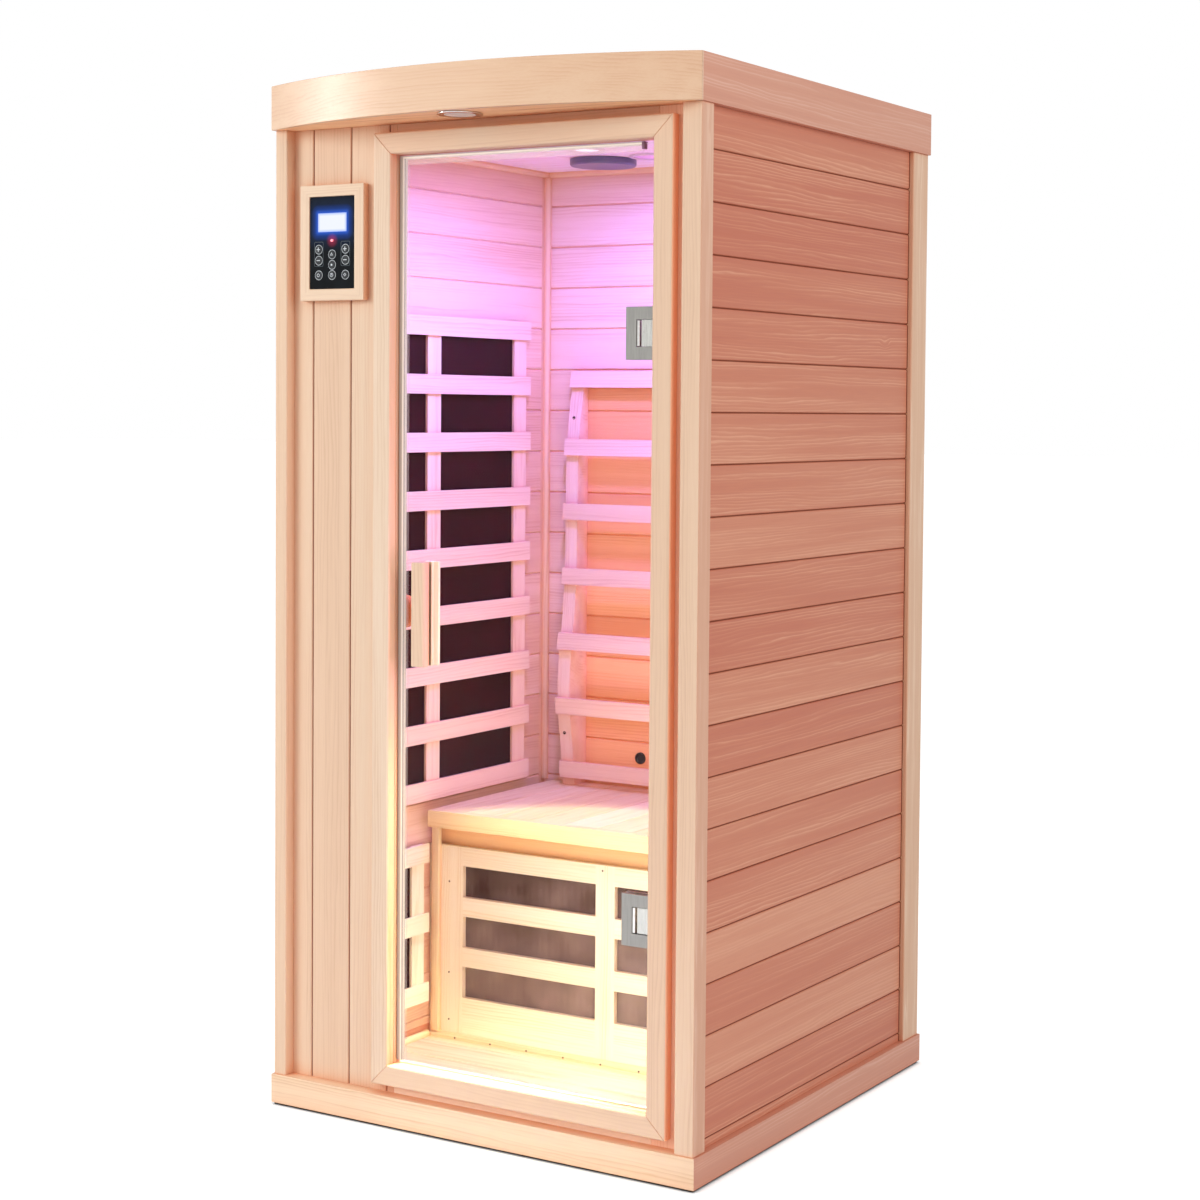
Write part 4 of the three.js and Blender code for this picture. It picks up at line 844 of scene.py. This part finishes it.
# %% [markdown]
# ## Fittings of the door and the roof
# These solids have the right shape and only need their edges broken and a finish: the zinc clamps and jamb blocks of
# the hinges, the chromed rim of the lamp under the bow, the violet lens on the ceiling, the plywood dust cover and the
# painted box on the roof. The clamps have a chamfer, which is a bevel in one step; the others are rounded.

# %% Hinges, lamps, cover and box
# Satin zinc: a cast, brushed and clear-coated alloy that shows soft streaks rather than a mirror image.
satin_zinc = speckled("satin_zinc", "#969490", "#A2A09B", 3, (0.40, 0.48), 0.03, (1, 1, 0.08), Metallic=1.0)
# Pale zinc: the same alloy ground smoother, so that it takes more of the light around it, and drawn paler as a painted
# highlight.
pale_zinc = speckled("ground_zinc", "#C2C1BC", "#D2D1CC", 3, (0.25, 0.32), 0.03, (1, 1, 0.08), Metallic=1.0)
# Chrome: a bright mirror with only a trace of haze from handling.
chrome = speckled("bright_chrome", "#D9D7D4", "#E8E6E3", 9, (0.08, 0.16), 0.02, Metallic=1.0)
# Violet polycarbonate: a moulded frosted lens.
violet_lens = speckled("violet_polycarbonate", "#585472", "#666282", 2.5, (0.3, 0.42), 0.05, IOR=1.58)
# Powder coat: matt grey with the orange peel of baked powder.
powder_grey = speckled("powder_coat_grey", "#66696C", "#74777A", 2.2, (0.5, 0.65), 0.25)
# Rotary-cut plywood: broad wandering figure, raw and dull.
plywood = hemlock("rotary_cut_plywood", "X", ("#BBA487", "#AA9276", "#8A7158"))
for place in ("top", "bottom"):
    eased("hinge_clamp_" + place, 3.5, satin_zinc, 1)
    eased("hinge_block_" + place, 1.2, pale_zinc, 3)
eased("visor_lamp", 0.5, chrome)
eased("ceiling_lamp", 1.0, violet_lens, 3)
eased("roof_cover", 0.8, plywood)
eased("power_unit", 1.5, powder_grey, 3)
print("fittings finished")

# %% [markdown]
# ## Strip on the door
# The strip that closes the gap round the pane is extruded from soft PVC. Its hollow bulb, next to the frame, is
# milky, and the casing's shade on it is painted in as grey. The flat lip that grips the glass is almost clear; the
# light that comes through it is painted in as a pale tone and a faint glow in the strip's own tone. Two pieces could
# show that, but the real strip is one extrusion, so its tone follows the distance from its outer edge.

# %% Soft PVC strip
STRIP_LEFT, STRIP_TOP, STRIP_WIDE = -0.189, 1.762, 0.016
# The faint emission is painted light: the strip glows in its own tone, for light that comes through it.
soft_pvc, tree, shader = start("extruded_soft_pvc", Specular_IOR_Level=0.3, Emission_Strength=0.25)
split = put(tree, "SeparateXYZ", {0: put(tree, "TexCoord", {}).outputs["Object"]}).outputs
from_left = put(tree, "Math", {0: split["X"], 1: STRIP_LEFT}, operation="SUBTRACT").outputs[0]
# Along the top the grey starts 5 mm further in, so the top run shows less painted shade.
from_top = put(tree, "Math", {0: STRIP_TOP + 0.005, 1: split["Z"]}, operation="SUBTRACT").outputs[0]
inwards = put(tree, "Math", {0: from_left, 1: from_top}, operation="MINIMUM").outputs[0]
inwards = put(tree, "Math", {0: inwards, 1: STRIP_WIDE}, operation="DIVIDE").outputs[0]
draw_lines = put(tree, "TexNoise", {"W": inwards, "Scale": 9, "Detail": 2}, noise_dimensions="1D").outputs[0]
pvc_tone = put(tree, "Math", {0: draw_lines, 1: 0.16, 2: inwards}, operation="MULTIPLY_ADD").outputs[0]
pvc_stops = [(0.08, linear("#9A8E84")), (0.42, linear("#B8ADA2")), (0.6, linear("#EFE6DA")), (0.95, linear("#E9CFCB"))]
pvc = put(tree, "ValToRGB", {0: pvc_tone}, pvc_stops).outputs[0]
tree.links.new(pvc, shader.inputs["Base Color"])
tree.links.new(pvc, shader.inputs["Emission Color"])
sheen = put(tree, "MapRange", {0: draw_lines, 3: 0.12, 4: 0.25}).outputs[0]
tree.links.new(sheen, shader.inputs["Roughness"])
cover = put(tree, "MapRange", {0: inwards, 1: 0.58, 2: 0.7, 3: 1.0, 4: 0.12}).outputs[0]
tree.links.new(cover, shader.inputs["Alpha"])
eased("door_seal", 0.5, soft_pvc)
print("strip", STRIP_WIDE * 1000, "mm wide")

# %% [markdown]
# ## Starting a small piece
# The small pieces below start from a cube or a cylinder at its true size and place, in millimetres as on a drawing.
# An object could keep its place and scale beside its mesh, but then patterns would slide, so both go into the mesh at
# once.

# %% Primitives at size and place
def placed(name):
    """Names the new primitive and puts its place into its mesh."""
    piece = bpy.context.active_object
    piece.name = name
    bpy.ops.object.transform_apply(location=True, rotation=True, scale=True)
    return piece


def block(name, low, high):
    """A cube primitive between two corners in millimetres."""
    bpy.ops.object.select_all(action="DESELECT")
    middle = [(a + b) / 2000 for a, b in zip(low, high)]
    bpy.ops.mesh.primitive_cube_add(size=1, location=middle, scale=[(b - a) / 1000 for a, b in zip(low, high)])
    return placed(name)


def disc(name, centre, radius, depth, axis="Y", sides=48):
    """A cylinder primitive in millimetres round a centre, standing along one axis."""
    bpy.ops.object.select_all(action="DESELECT")
    turn = {"X": (0, radians(90), 0), "Y": (radians(90), 0, 0), "Z": (0, 0, 0)}[axis]
    bpy.ops.mesh.primitive_cylinder_add(
        vertices=sides, radius=radius / 1000, depth=depth / 1000, location=[c / 1000 for c in centre], rotation=turn)
    return placed(name)


print("helpers: placed, block, disc")

# %% [markdown]
# ## Shaping and copying
# By hand, faces and edges are clicked. In code they are picked by where their middle lies, which reads like pointing
# at them: the edge at that height, the face on that side. A piece that repeats is made once, and each copy has a mesh
# of its own.

# %% Picking, closing and copying
def near(**at):
    """A test that a middle lies at the given x, y or z, in millimetres."""
    return lambda middle: all(abs(getattr(middle, axis) - value) < 0.02 for axis, value in at.items())


def pick(piece, kind, test):
    """Opens a piece for editing with only those faces or edges selected whose middle passes the test."""
    bpy.context.view_layer.objects.active = piece
    bpy.ops.object.mode_set(mode="EDIT")
    bpy.ops.mesh.select_mode(type=kind)
    bpy.ops.mesh.select_all(action="DESELECT")
    bpy.ops.object.mode_set(mode="OBJECT")
    points = piece.data.vertices
    for item in {"EDGE": piece.data.edges, "FACE": piece.data.polygons}[kind]:
        corners = [points[i].co * 1000 for i in item.vertices]
        item.select = test(sum(corners, Vector()) / len(corners))
    bpy.ops.object.mode_set(mode="EDIT")


def close(piece, material, body="cabin", angle=30):
    """Leaves edit mode, smooths the rounded edges and dresses the piece."""
    bpy.ops.object.mode_set(mode="OBJECT")
    bpy.ops.object.select_all(action="DESELECT")
    piece.select_set(True)
    bpy.context.view_layer.objects.active = piece
    level(piece, angle)
    dress(piece, material, body)
    return piece


def copied(piece, name, move_mm):
    """A copy of a piece with its own mesh, moved in millimetres."""
    bpy.ops.object.select_all(action="DESELECT")
    piece.select_set(True)
    bpy.context.view_layer.objects.active = piece
    bpy.ops.object.duplicate()
    twin = bpy.context.active_object
    twin.name = name
    bpy.ops.transform.translate(value=[m / 1000 for m in move_mm])
    bpy.ops.object.transform_apply(location=True, rotation=True, scale=True)
    return twin


def spread_out(first, name, places, material):
    """Copies a first piece, which stands at the first of a list of places, to all the others."""
    for i, there in enumerate(places[1:], 2):
        twin = copied(first, f"{name}_{i}", [b - a for a, b in zip(places[0], there)])
        dress(twin, material, "cabin")


print("helpers: near, pick, close, copied, spread_out")

# %% [markdown]
# ## Mouldings in the room
# Quarter-round mouldings cover the joints between walls, ceiling and floor and stand in the corners. On the bench a
# moulding plane would be run along a lath; here a square lath has its one edge towards the room rounded by a wide
# bevel.

# %% Quarter-round mouldings
def moulding(name, low, high, material, **room_edge):
    """A square lath whose edge towards the room is rounded over."""
    piece = block(name, low, high)
    pick(piece, "EDGE", near(**room_edge))
    bpy.ops.mesh.bevel(offset=0.008, segments=6, affect="EDGES")
    return close(piece, material)


ROOM_TONES = ("#F3D9BE", "#EACAAA", "#DCB394")
room_level = hemlock("hemlock_room_level", "X", ROOM_TONES)
room_deep = hemlock("hemlock_room_deep", "Y", ROOM_TONES)
room_upright = hemlock("hemlock_room_upright", "Z", ROOM_TONES)
bench_deep = hemlock("hemlock_bench_deep", "Y", BENCH_TONES)
for side, wall, room in (("left", -422, -411), ("right", 422, 411)):
    low, high = sorted((wall, room))
    moulding("corner_round_back_" + side, (low, 389, 504.5), (high, 400, 1808), room_upright, x=room, y=389)
    moulding("corner_round_front_" + side, (low, -407, 47), (high, -396, 1808), room_upright, x=room, y=-396)
    moulding("ceiling_round_" + side, (low, -407, 1808), (high, 400, 1819), room_deep, x=room, z=1808)
    moulding("skirting_" + side, (low, -407, 36), (high, -21, 47), bench_deep, x=room, z=47)
moulding("ceiling_round_back", (-411, 389, 1808), (411, 400, 1819), room_level, y=389, z=1808)
moulding("ceiling_round_front", (-411, -407, 1808), (411, -396, 1819), room_level, y=-396, z=1808)
moulding("skirting_calf", (-411, -21, 36), (411, -10, 47), bench_level, y=-21, z=47)
print("mouldings made")

# %% [markdown]
# ## Calf battens
# A plain batten closes each end of the calf guard. It is a lath with its front arrises taken off, which two short
# bevels give.

# %% Battens
bench_upright = hemlock("hemlock_bench_upright", "Z", BENCH_TONES)
for side, x in (("left", -411), ("right", 393)):
    batten = block("calf_batten_" + side, (x, -20, 47), (x + 18, -10, 469.5))
    pick(batten, "EDGE", lambda middle: middle.y < -19)
    bpy.ops.mesh.bevel(offset=0.002, segments=3, affect="EDGES")
    close(batten, bench_upright)
print("battens 18 mm wide")

# %% [markdown]
# ## Rings and discs
# Lamp rims, printed rings and frames are all thin plates with the middle cut out. A punch would do it in metal; here
# the two broad faces are inset, their middles deleted, and the two open loops bridged into an inner wall.

# %% Cutting the middle out of a plate
def hollow(piece, wall_mm, axis):
    """Leaves a ring of the given width round the edge of a plate that lies across an axis."""
    ends = [getattr(point.co * 1000, axis) for point in piece.data.vertices]
    low, high = min(ends) + 0.02, max(ends) - 0.02
    pick(piece, "FACE", lambda middle: not low < getattr(middle, axis) < high)
    bpy.ops.mesh.inset(thickness=wall_mm / 1000, use_individual=True)
    bpy.ops.mesh.delete(type="FACE")
    bpy.ops.mesh.select_mode(type="EDGE")
    bpy.ops.mesh.select_all(action="DESELECT")
    bpy.ops.mesh.select_non_manifold()
    bpy.ops.mesh.bridge_edge_loops()


def rounded_plate(piece, round_mm, **face):
    """Rounds the outer edge of the face of a plate that lies at the given place."""
    pick(piece, "FACE", near(**face))
    bpy.ops.mesh.select_mode(type="EDGE")
    bpy.ops.mesh.region_to_loop()
    bpy.ops.mesh.bevel(offset=round_mm / 1000, segments=4, affect="EDGES")


print("helpers: hollow, rounded_plate")

# %% [markdown]
# ## Lamps on the ceiling and under the bow
# Two flush lamps sit in the ceiling beside the drum: a small bright reading lamp and a wider ring of the colour
# light. Each is a rim with its middle cut out and a low lens in it. The lamp under the bow has a frosted lens in its
# chromed rim. A lit diffuser is brightest in the middle, so its glow follows the distance from there.

# %% Flush lamps
def lit(name, core, edge, centre, radius_mm, strength):
    """A lit diffuser that is brightest in the middle."""
    material, tree, shader = start(name, Roughness=0.3, Emission_Strength=strength)
    place = put(tree, "TexCoord", {}).outputs["Object"]
    off = put(tree, "VectorMath", {0: place, 1: [c / 1000 for c in centre]}, operation="DISTANCE").outputs["Value"]
    off = put(tree, "Math", {0: off, 1: radius_mm / 1000}, operation="DIVIDE").outputs[0]
    glow = put(tree, "ValToRGB", {0: off}, [(0.3, linear(core)), (1.0, linear(edge))]).outputs[0]
    tree.links.new(glow, shader.inputs["Base Color"])
    tree.links.new(glow, shader.inputs["Emission Color"])
    return material


# Opal acrylic, lit from behind: white and nearly even, or a dim violet.
READING = (-93, 50, 1816)
COLOUR = (-35, 213, 1816)
reading_glow = lit("lit_opal_white", "#FFFFFF", "#F4E8F8", READING, 25, 0.8)
colour_glow = lit("lit_opal_violet", "#E9B8F0", "#C79AD8", COLOUR, 44, 0.12)
# White enamel: a sprayed rim with a faint orange peel.
white_enamel = speckled("white_enamel", "#D9CBD2", "#E3D7DC", 3, (0.28, 0.36), 0.08)
for name, (x, y, z), rim, lens, glow in (("reading", READING, 36, 25, reading_glow),
                                         ("colour", COLOUR, 52, 44, colour_glow)):
    ring = disc(name + "_lamp_rim", (x, y, 1817), rim, 4, "Z")
    hollow(ring, rim - lens, "z")
    close(ring, white_enamel)
    face = disc(name + "_lamp_lens", (x, y, 1817.6), lens - 0.2, 2.4, "Z")
    rounded_plate(face, 1.0, z=1816.4)
    close(face, glow)
# Frosted glass: etched, so that it scatters the light and shows no image.
frosted = speckled("frosted_glass", "#D8CFC6", "#E8E1DA", 2, (0.3, 0.45), 0.08, IOR=1.5)
lens = disc("visor_lamp_lens", (0, -496, 1817), 27.8, 2, "Z")
rounded_plate(lens, 0.8, z=1816)
close(lens, frosted)
print("lamps: reading at", READING, "colour at", COLOUR)

# %% [markdown]
# ## Small fittings
# A rubber grommet in the back wall holds the temperature sensor, and a dark clip ends the strip on the door. The
# grommet is made as on a lathe: a disc whose rim is rounded and whose middle is inset and pushed in.

# %% Grommet and clip
# Moulded rubber: dull black with a fine grit.
rubber = speckled("moulded_rubber", "#1C1A1B", "#2A2728", 1.5, (0.6, 0.75), 0.15)
grommet = disc("sensor_grommet", (-174, 398, 568), 12.5, 4)
rounded_plate(grommet, 1.5, y=396)
pick(grommet, "FACE", near(y=396))
bpy.ops.mesh.inset(thickness=0.004)
bpy.ops.transform.translate(value=(0, 0.0025, 0))
close(grommet, rubber)
clip = block("seal_clip", (322, -419.4, 1749), (328, -408.6, 1762))
pick(clip, "EDGE", lambda middle: True)
bpy.ops.mesh.bevel(offset=0.001, segments=2, affect="EDGES")
# Tinted PVC: a plum-grey moulded end piece.
plum_pvc = speckled("plum_pvc", "#7A5468", "#8A6074", 2, (0.4, 0.5), 0.05)
close(clip, plum_pvc, "door")
print("grommet 25 mm, clip 7 mm")

# %% [markdown]
# ## Brads and screws
# The calf guard and its skirting are held by small brads, and screws hold the stringers of the backrest. Their heads
# are sunk a little and show as dark dots. One brad is modelled, a disc with a rounded rim, and copied to the others.
# A screw has its middle inset and pushed in for the driver; a ray cast at the backrest finds where its head lies.

# %% Brads and screws
# Blued steel: a dark heat tint on drawn wire.
blued_steel = speckled("blued_steel", "#43322C", "#55413A", 1.5, (0.4, 0.55), 0.05, Metallic=0.7)
brad_places = [(x, -10, z) for x in (-373, 373) for z in (354, 169, 73)] + [(-6, -10, 416)]
brad_places += [(-350 + 87.3 * i, -21, 40) for i in range(9)]
brad = disc("brad_1", brad_places[0], 1.9, 0.8, sides=16)
rounded_plate(brad, 0.25, y=brad_places[0][1] - 0.4)
close(brad, blued_steel)
spread_out(brad, "brad", brad_places, blued_steel)
for i, (x, z) in enumerate([(x, z) for x in (-330, 330) for z in (1291, 617)], 1):
    found, head, normal, face = backrest.ray_cast((x / 1000, -0.3, z / 1000), (0, 1, 0))
    y = head.y * 1000
    screw = disc(f"backrest_screw_{i}", (x, y, z), 3.6, 1.2, sides=24)
    rounded_plate(screw, 0.4, y=y - 0.6)
    pick(screw, "FACE", near(y=y - 0.6))
    bpy.ops.mesh.inset(thickness=0.0015)
    bpy.ops.transform.translate(value=(0, 0.0005, 0))
    close(screw, blued_steel)
print("brads:", len(brad_places), "screws: 4")

# %% [markdown]
# ## Screws and nut on the roof
# Screws hold the dust cover along both sides, and a nylon nut locks the cable gland above it. The screw is a disc
# with a rounded rim and a driver recess, copied to the other places; the nut is a six-sided disc with its middle cut
# out.

# %% Roof fittings
roof_places = [(x, y, 1888.4) for x in (-415, 415) for y in (-380, -120, 140, 400)]
screw = disc("roof_screw_1", roof_places[0], 4.5, 1.6, "Z", sides=24)
rounded_plate(screw, 0.5, z=1889.2)
pick(screw, "FACE", near(z=1889.2))
bpy.ops.mesh.inset(thickness=0.0018)
bpy.ops.transform.translate(value=(0, 0, -0.0006))
close(screw, blued_steel)
spread_out(screw, "roof_screw", roof_places, blued_steel)
# Moulded nylon: dark grey, with a dull skin.
nylon = speckled("moulded_nylon", "#34363A", "#42454A", 1.5, (0.45, 0.6), 0.1)
nut = disc("gland_nut", (0, 317, 1891.2), 17, 6, "Z", sides=6)
hollow(nut, 4.0, "z")
close(nut, nylon)
print("roof screws:", len(roof_places))

# %% [markdown]
# ## Hinge covers
# In each hinge's notch a narrow cover hides the spring. It is a bar with its front edges well rounded, so that it
# shows as a light upright line between two dark ones.

# %% Covers in the notches
for place, z in (("top", 1439), ("bottom", 439)):
    cover = block("hinge_cover_" + place, (318, -424, z - 21.5), (324, -404, z + 21.5))
    pick(cover, "EDGE", lambda middle: abs(middle.y + 414) > 9.9 and abs(middle.z - z) < 1)
    bpy.ops.mesh.bevel(offset=0.0015, segments=4, affect="EDGES")
    close(cover, chrome, "door")
print("covers 6 mm wide")

# %% [markdown]
# ## Control panel
# The panel is moulded in gloss black ABS, which shows deep black under a thin clear gloss. Its lit display spills a
# blue glow over the black around it, and the red lamp below it a red one, both soon faded. A lamp behind the panel
# could make that glow, but the falloff is easier to steer as light of the surface itself, worked out from the
# distance to the display's edge.

# %% Gloss black panel with its glow
PANEL = (-0.3295, 1.610)
DISPLAY = (PANEL[0], 0, 1.647)
LED = (PANEL[0], -0.438, 1.614)
GLOW_MM = 36


def past_window(tree, place, centre, half):
    """How far a point lies outside a window of given half sizes, in metres."""
    off = put(tree, "VectorMath", {0: place, 1: centre}, operation="SUBTRACT").outputs[0]
    off = put(tree, "VectorMath", {0: off}, operation="ABSOLUTE").outputs[0]
    off = put(tree, "VectorMath", {0: off, 1: (half[0], 9, half[1])}, operation="SUBTRACT").outputs[0]
    off = put(tree, "VectorMath", {0: off, 1: (0, 0, 0)}, operation="MAXIMUM").outputs[0]
    return put(tree, "VectorMath", {0: off}, operation="LENGTH").outputs["Value"]


panel_abs, tree, shader = start("gloss_black_abs", Roughness=0.16, Specular_IOR_Level=0.1, Emission_Strength=1.0)
place = put(tree, "TexCoord", {}).outputs["Object"]
cloud = put(tree, "TexNoise", {"Vector": place, "Scale": 60, "Detail": 2}).outputs[0]
black = put(tree, "ValToRGB", {0: cloud}, [(0.3, linear("#0B0D10")), (0.7, linear("#12161A"))]).outputs[0]
tree.links.new(black, shader.inputs["Base Color"])
edge = past_window(tree, place, DISPLAY, (0.033, 0.017))
halo = put(tree, "MapRange", {0: edge, 1: GLOW_MM / 1000, 2: 0.0, 3: 0, 4: 1}).outputs[0]
blue = put(tree, "ValToRGB", {0: halo}, [(0.0, (0, 0, 0, 1)), (0.55, linear("#0A1830")), (0.8, linear("#10347E")),
                                         (1.0, linear("#2A5CD0"))])
off = put(tree, "VectorMath", {0: place, 1: LED}, operation="DISTANCE").outputs["Value"]
ember = put(tree, "MapRange", {0: off, 1: 0.015, 2: 0.004, 3: 0, 4: 1}, interpolation_type="SMOOTHSTEP").outputs[0]
red = put(tree, "ValToRGB", {0: ember}, [(0.0, (0, 0, 0, 1)), (1.0, linear("#7C0E24"))])
glow = put(tree, "Mix", {0: 1.0, 6: blue.outputs[0], 7: red.outputs[0]}, data_type="RGBA", blend_type="ADD")
tree.links.new(glow.outputs[2], shader.inputs["Emission Color"])
finish_nodes(panel_abs, "control_panel")
print("panel glow reaches", GLOW_MM, "mm from the display")

# %% [markdown]
# ## Display and keys
# The display is a liquid crystal cell behind glass, lit from behind: white in the middle and bluer towards its frame.
# The nine keys are moulded in soft-touch ABS, with their rims just broken by a fine bevel.

# %% Display and keys
screen, tree, shader = start("lit_lcd_glass", Roughness=0.12, Emission_Strength=0.95)
place = put(tree, "TexCoord", {}).outputs["Object"]
edge = past_window(tree, place, DISPLAY, (0.028, 0.012))
lit_tone = put(tree, "ValToRGB", {0: put(tree, "MapRange", {0: edge, 2: 0.0065}).outputs[0]},
               [(0.0, linear("#F2F6FF")), (1.0, linear("#8FB2FF"))]).outputs[0]
tree.links.new(lit_tone, shader.inputs["Emission Color"])
shader.inputs["Base Color"].default_value = linear("#20242C")
finish_nodes(screen, "control_display")

# Soft-touch ABS keys: nearly black, finely textured.
key_abs = speckled("soft_touch_abs", "#111417", "#1A1E22", 1.2, (0.45, 0.6), 0.1)
for i in range(1, 10):
    eased(f"key_{i}", 0.3, key_abs)

# %% [markdown]
# ## Marks on the keys
# A ring is printed round each key, and a plain sign on it. Print is a film of ink, drawn here a quarter of a
# millimetre thick so that it shows. A ring is modelled once and copied to each key.

# %% Rings
# Screen ink: pale grey, slightly uneven where it was pressed through the mesh.
ink = speckled("screen_ink", "#C4C8CC", "#DCDFE2", 0.8, (0.5, 0.6), 0.1)
KEY_FACE = -439.6
COLUMNS = (-31, 0, 31)
ROWS = ((-12, -32, -59), (-21.5, -40.5, -59), (-12, -32, -59))
places = [(PANEL[0] * 1000 + COLUMNS[c], KEY_FACE - 0.05, 1610 + ROWS[c][r]) for c in range(3) for r in range(3)]
key_ring = disc("key_ring_1", (places[0][0], -438.05, places[0][2]), 8.7, 0.3, sides=40)
hollow(key_ring, 0.9, "y")
close(key_ring, ink)
spread_out(key_ring, "key_ring", places, ink)
print("rings:", len(places))

# %% [markdown]
# ## Signs
# The signs grow from a small cube by extruding its sides, which gives a plus or a minus. The others are a dot and
# rings with three, four, six or many sides. Each rides on its own key.

# %% Signs
SIGN_HALF = 0.75


def sign(i, reach, *sides):
    """A plus or a minus on a key: a small cube whose named sides are drawn out."""
    x, y, z = places[i - 1]
    piece = block(f"key_sign_{i}", (x - SIGN_HALF, y - 0.15, z - SIGN_HALF), (x + SIGN_HALF, y + 0.15, z + SIGN_HALF))
    side_at = {"left": near(x=x - SIGN_HALF), "right": near(x=x + SIGN_HALF),
               "top": near(z=z + SIGN_HALF), "bottom": near(z=z - SIGN_HALF)}
    pick(piece, "FACE", lambda middle: any(side_at[side](middle) for side in sides))
    bpy.ops.mesh.extrude_faces_move(TRANSFORM_OT_shrink_fatten={"value": reach / 1000})
    close(piece, ink, f"key_{i}")


for i in (1, 7):
    sign(i, 3.2, "left", "right", "top", "bottom")
for i in (2, 8):
    sign(i, 3.2, "left", "right")
sign(6, 2.4, "top")
for i, sides, size in ((3, 6, 3.4), (4, 3, 3.6), (5, 24, 2.0), (9, 4, 3.2), (6, 24, 3.6)):
    x, y, z = places[i - 1]
    mark = disc(f"key_mark_{i}", (x, y, z), size, 0.3, sides=sides)
    if i == 5:
        rounded_plate(mark, 0.1, y=y - 0.15)
    else:
        hollow(mark, 0.9, "y")
    close(mark, ink, f"key_{i}")
print("keys marked:", len(places))

# %% [markdown]
# ## Lamp and outlines on the panel
# A red lamp sits under the display: a low dome, drawn out sideways into an oval. Thin printed outlines group the two
# pairs of keys. An outline starts as a thin plate, has its four corners rounded, and loses its middle as the rings do.

# %% Red lamp and group outlines
# Red acrylic, lit from behind: pale where the lamp sits, deep red at its rim.
led_glow = lit("lit_red_lens", "#FF98A8", "#A01028", (LED[0] * 1000, -439, LED[2] * 1000), 4.4, 0.7)
led = disc("panel_led", (LED[0] * 1000, -438.5, LED[2] * 1000), 3.0, 1.6, sides=32)
rounded_plate(led, 0.8, y=-439.3)
bpy.ops.mesh.select_all(action="SELECT")
bpy.ops.transform.resize(value=(1.4, 1, 0.85), center_override=LED)
close(led, led_glow)
# Thin ink: the outline is greyer than the rings.
thin_ink = speckled("thin_screen_ink", "#4E565C", "#5E666C", 0.8, (0.5, 0.6), 0.1)
for side, x in (("left", -31), ("right", 31)):
    x += PANEL[0] * 1000
    outline = block("key_outline_" + side, (x - 10.5, -438.2, 1567), (x + 10.5, -437.9, 1612))
    pick(outline, "EDGE", lambda middle: abs(middle.y + 438.05) < 0.02)
    bpy.ops.mesh.bevel(offset=0.003, segments=4, affect="EDGES")
    bpy.ops.object.mode_set(mode="OBJECT")
    hollow(outline, 0.6, "y")
    close(outline, thin_ink)
print("outlines 21 mm wide")

# %% [markdown]
# ## Sizes
# The dressed cabin must be as large as its solids. Both boxes are kept side by side, and the last line prints the
# dressed cabin's box.

# %% Sizes and finish
size = {"cad": cad_box, "visual": [list(corner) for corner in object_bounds()]}
print("box of the dressed cabin:", [[round(v, 3) for v in corner] for corner in size["visual"]])
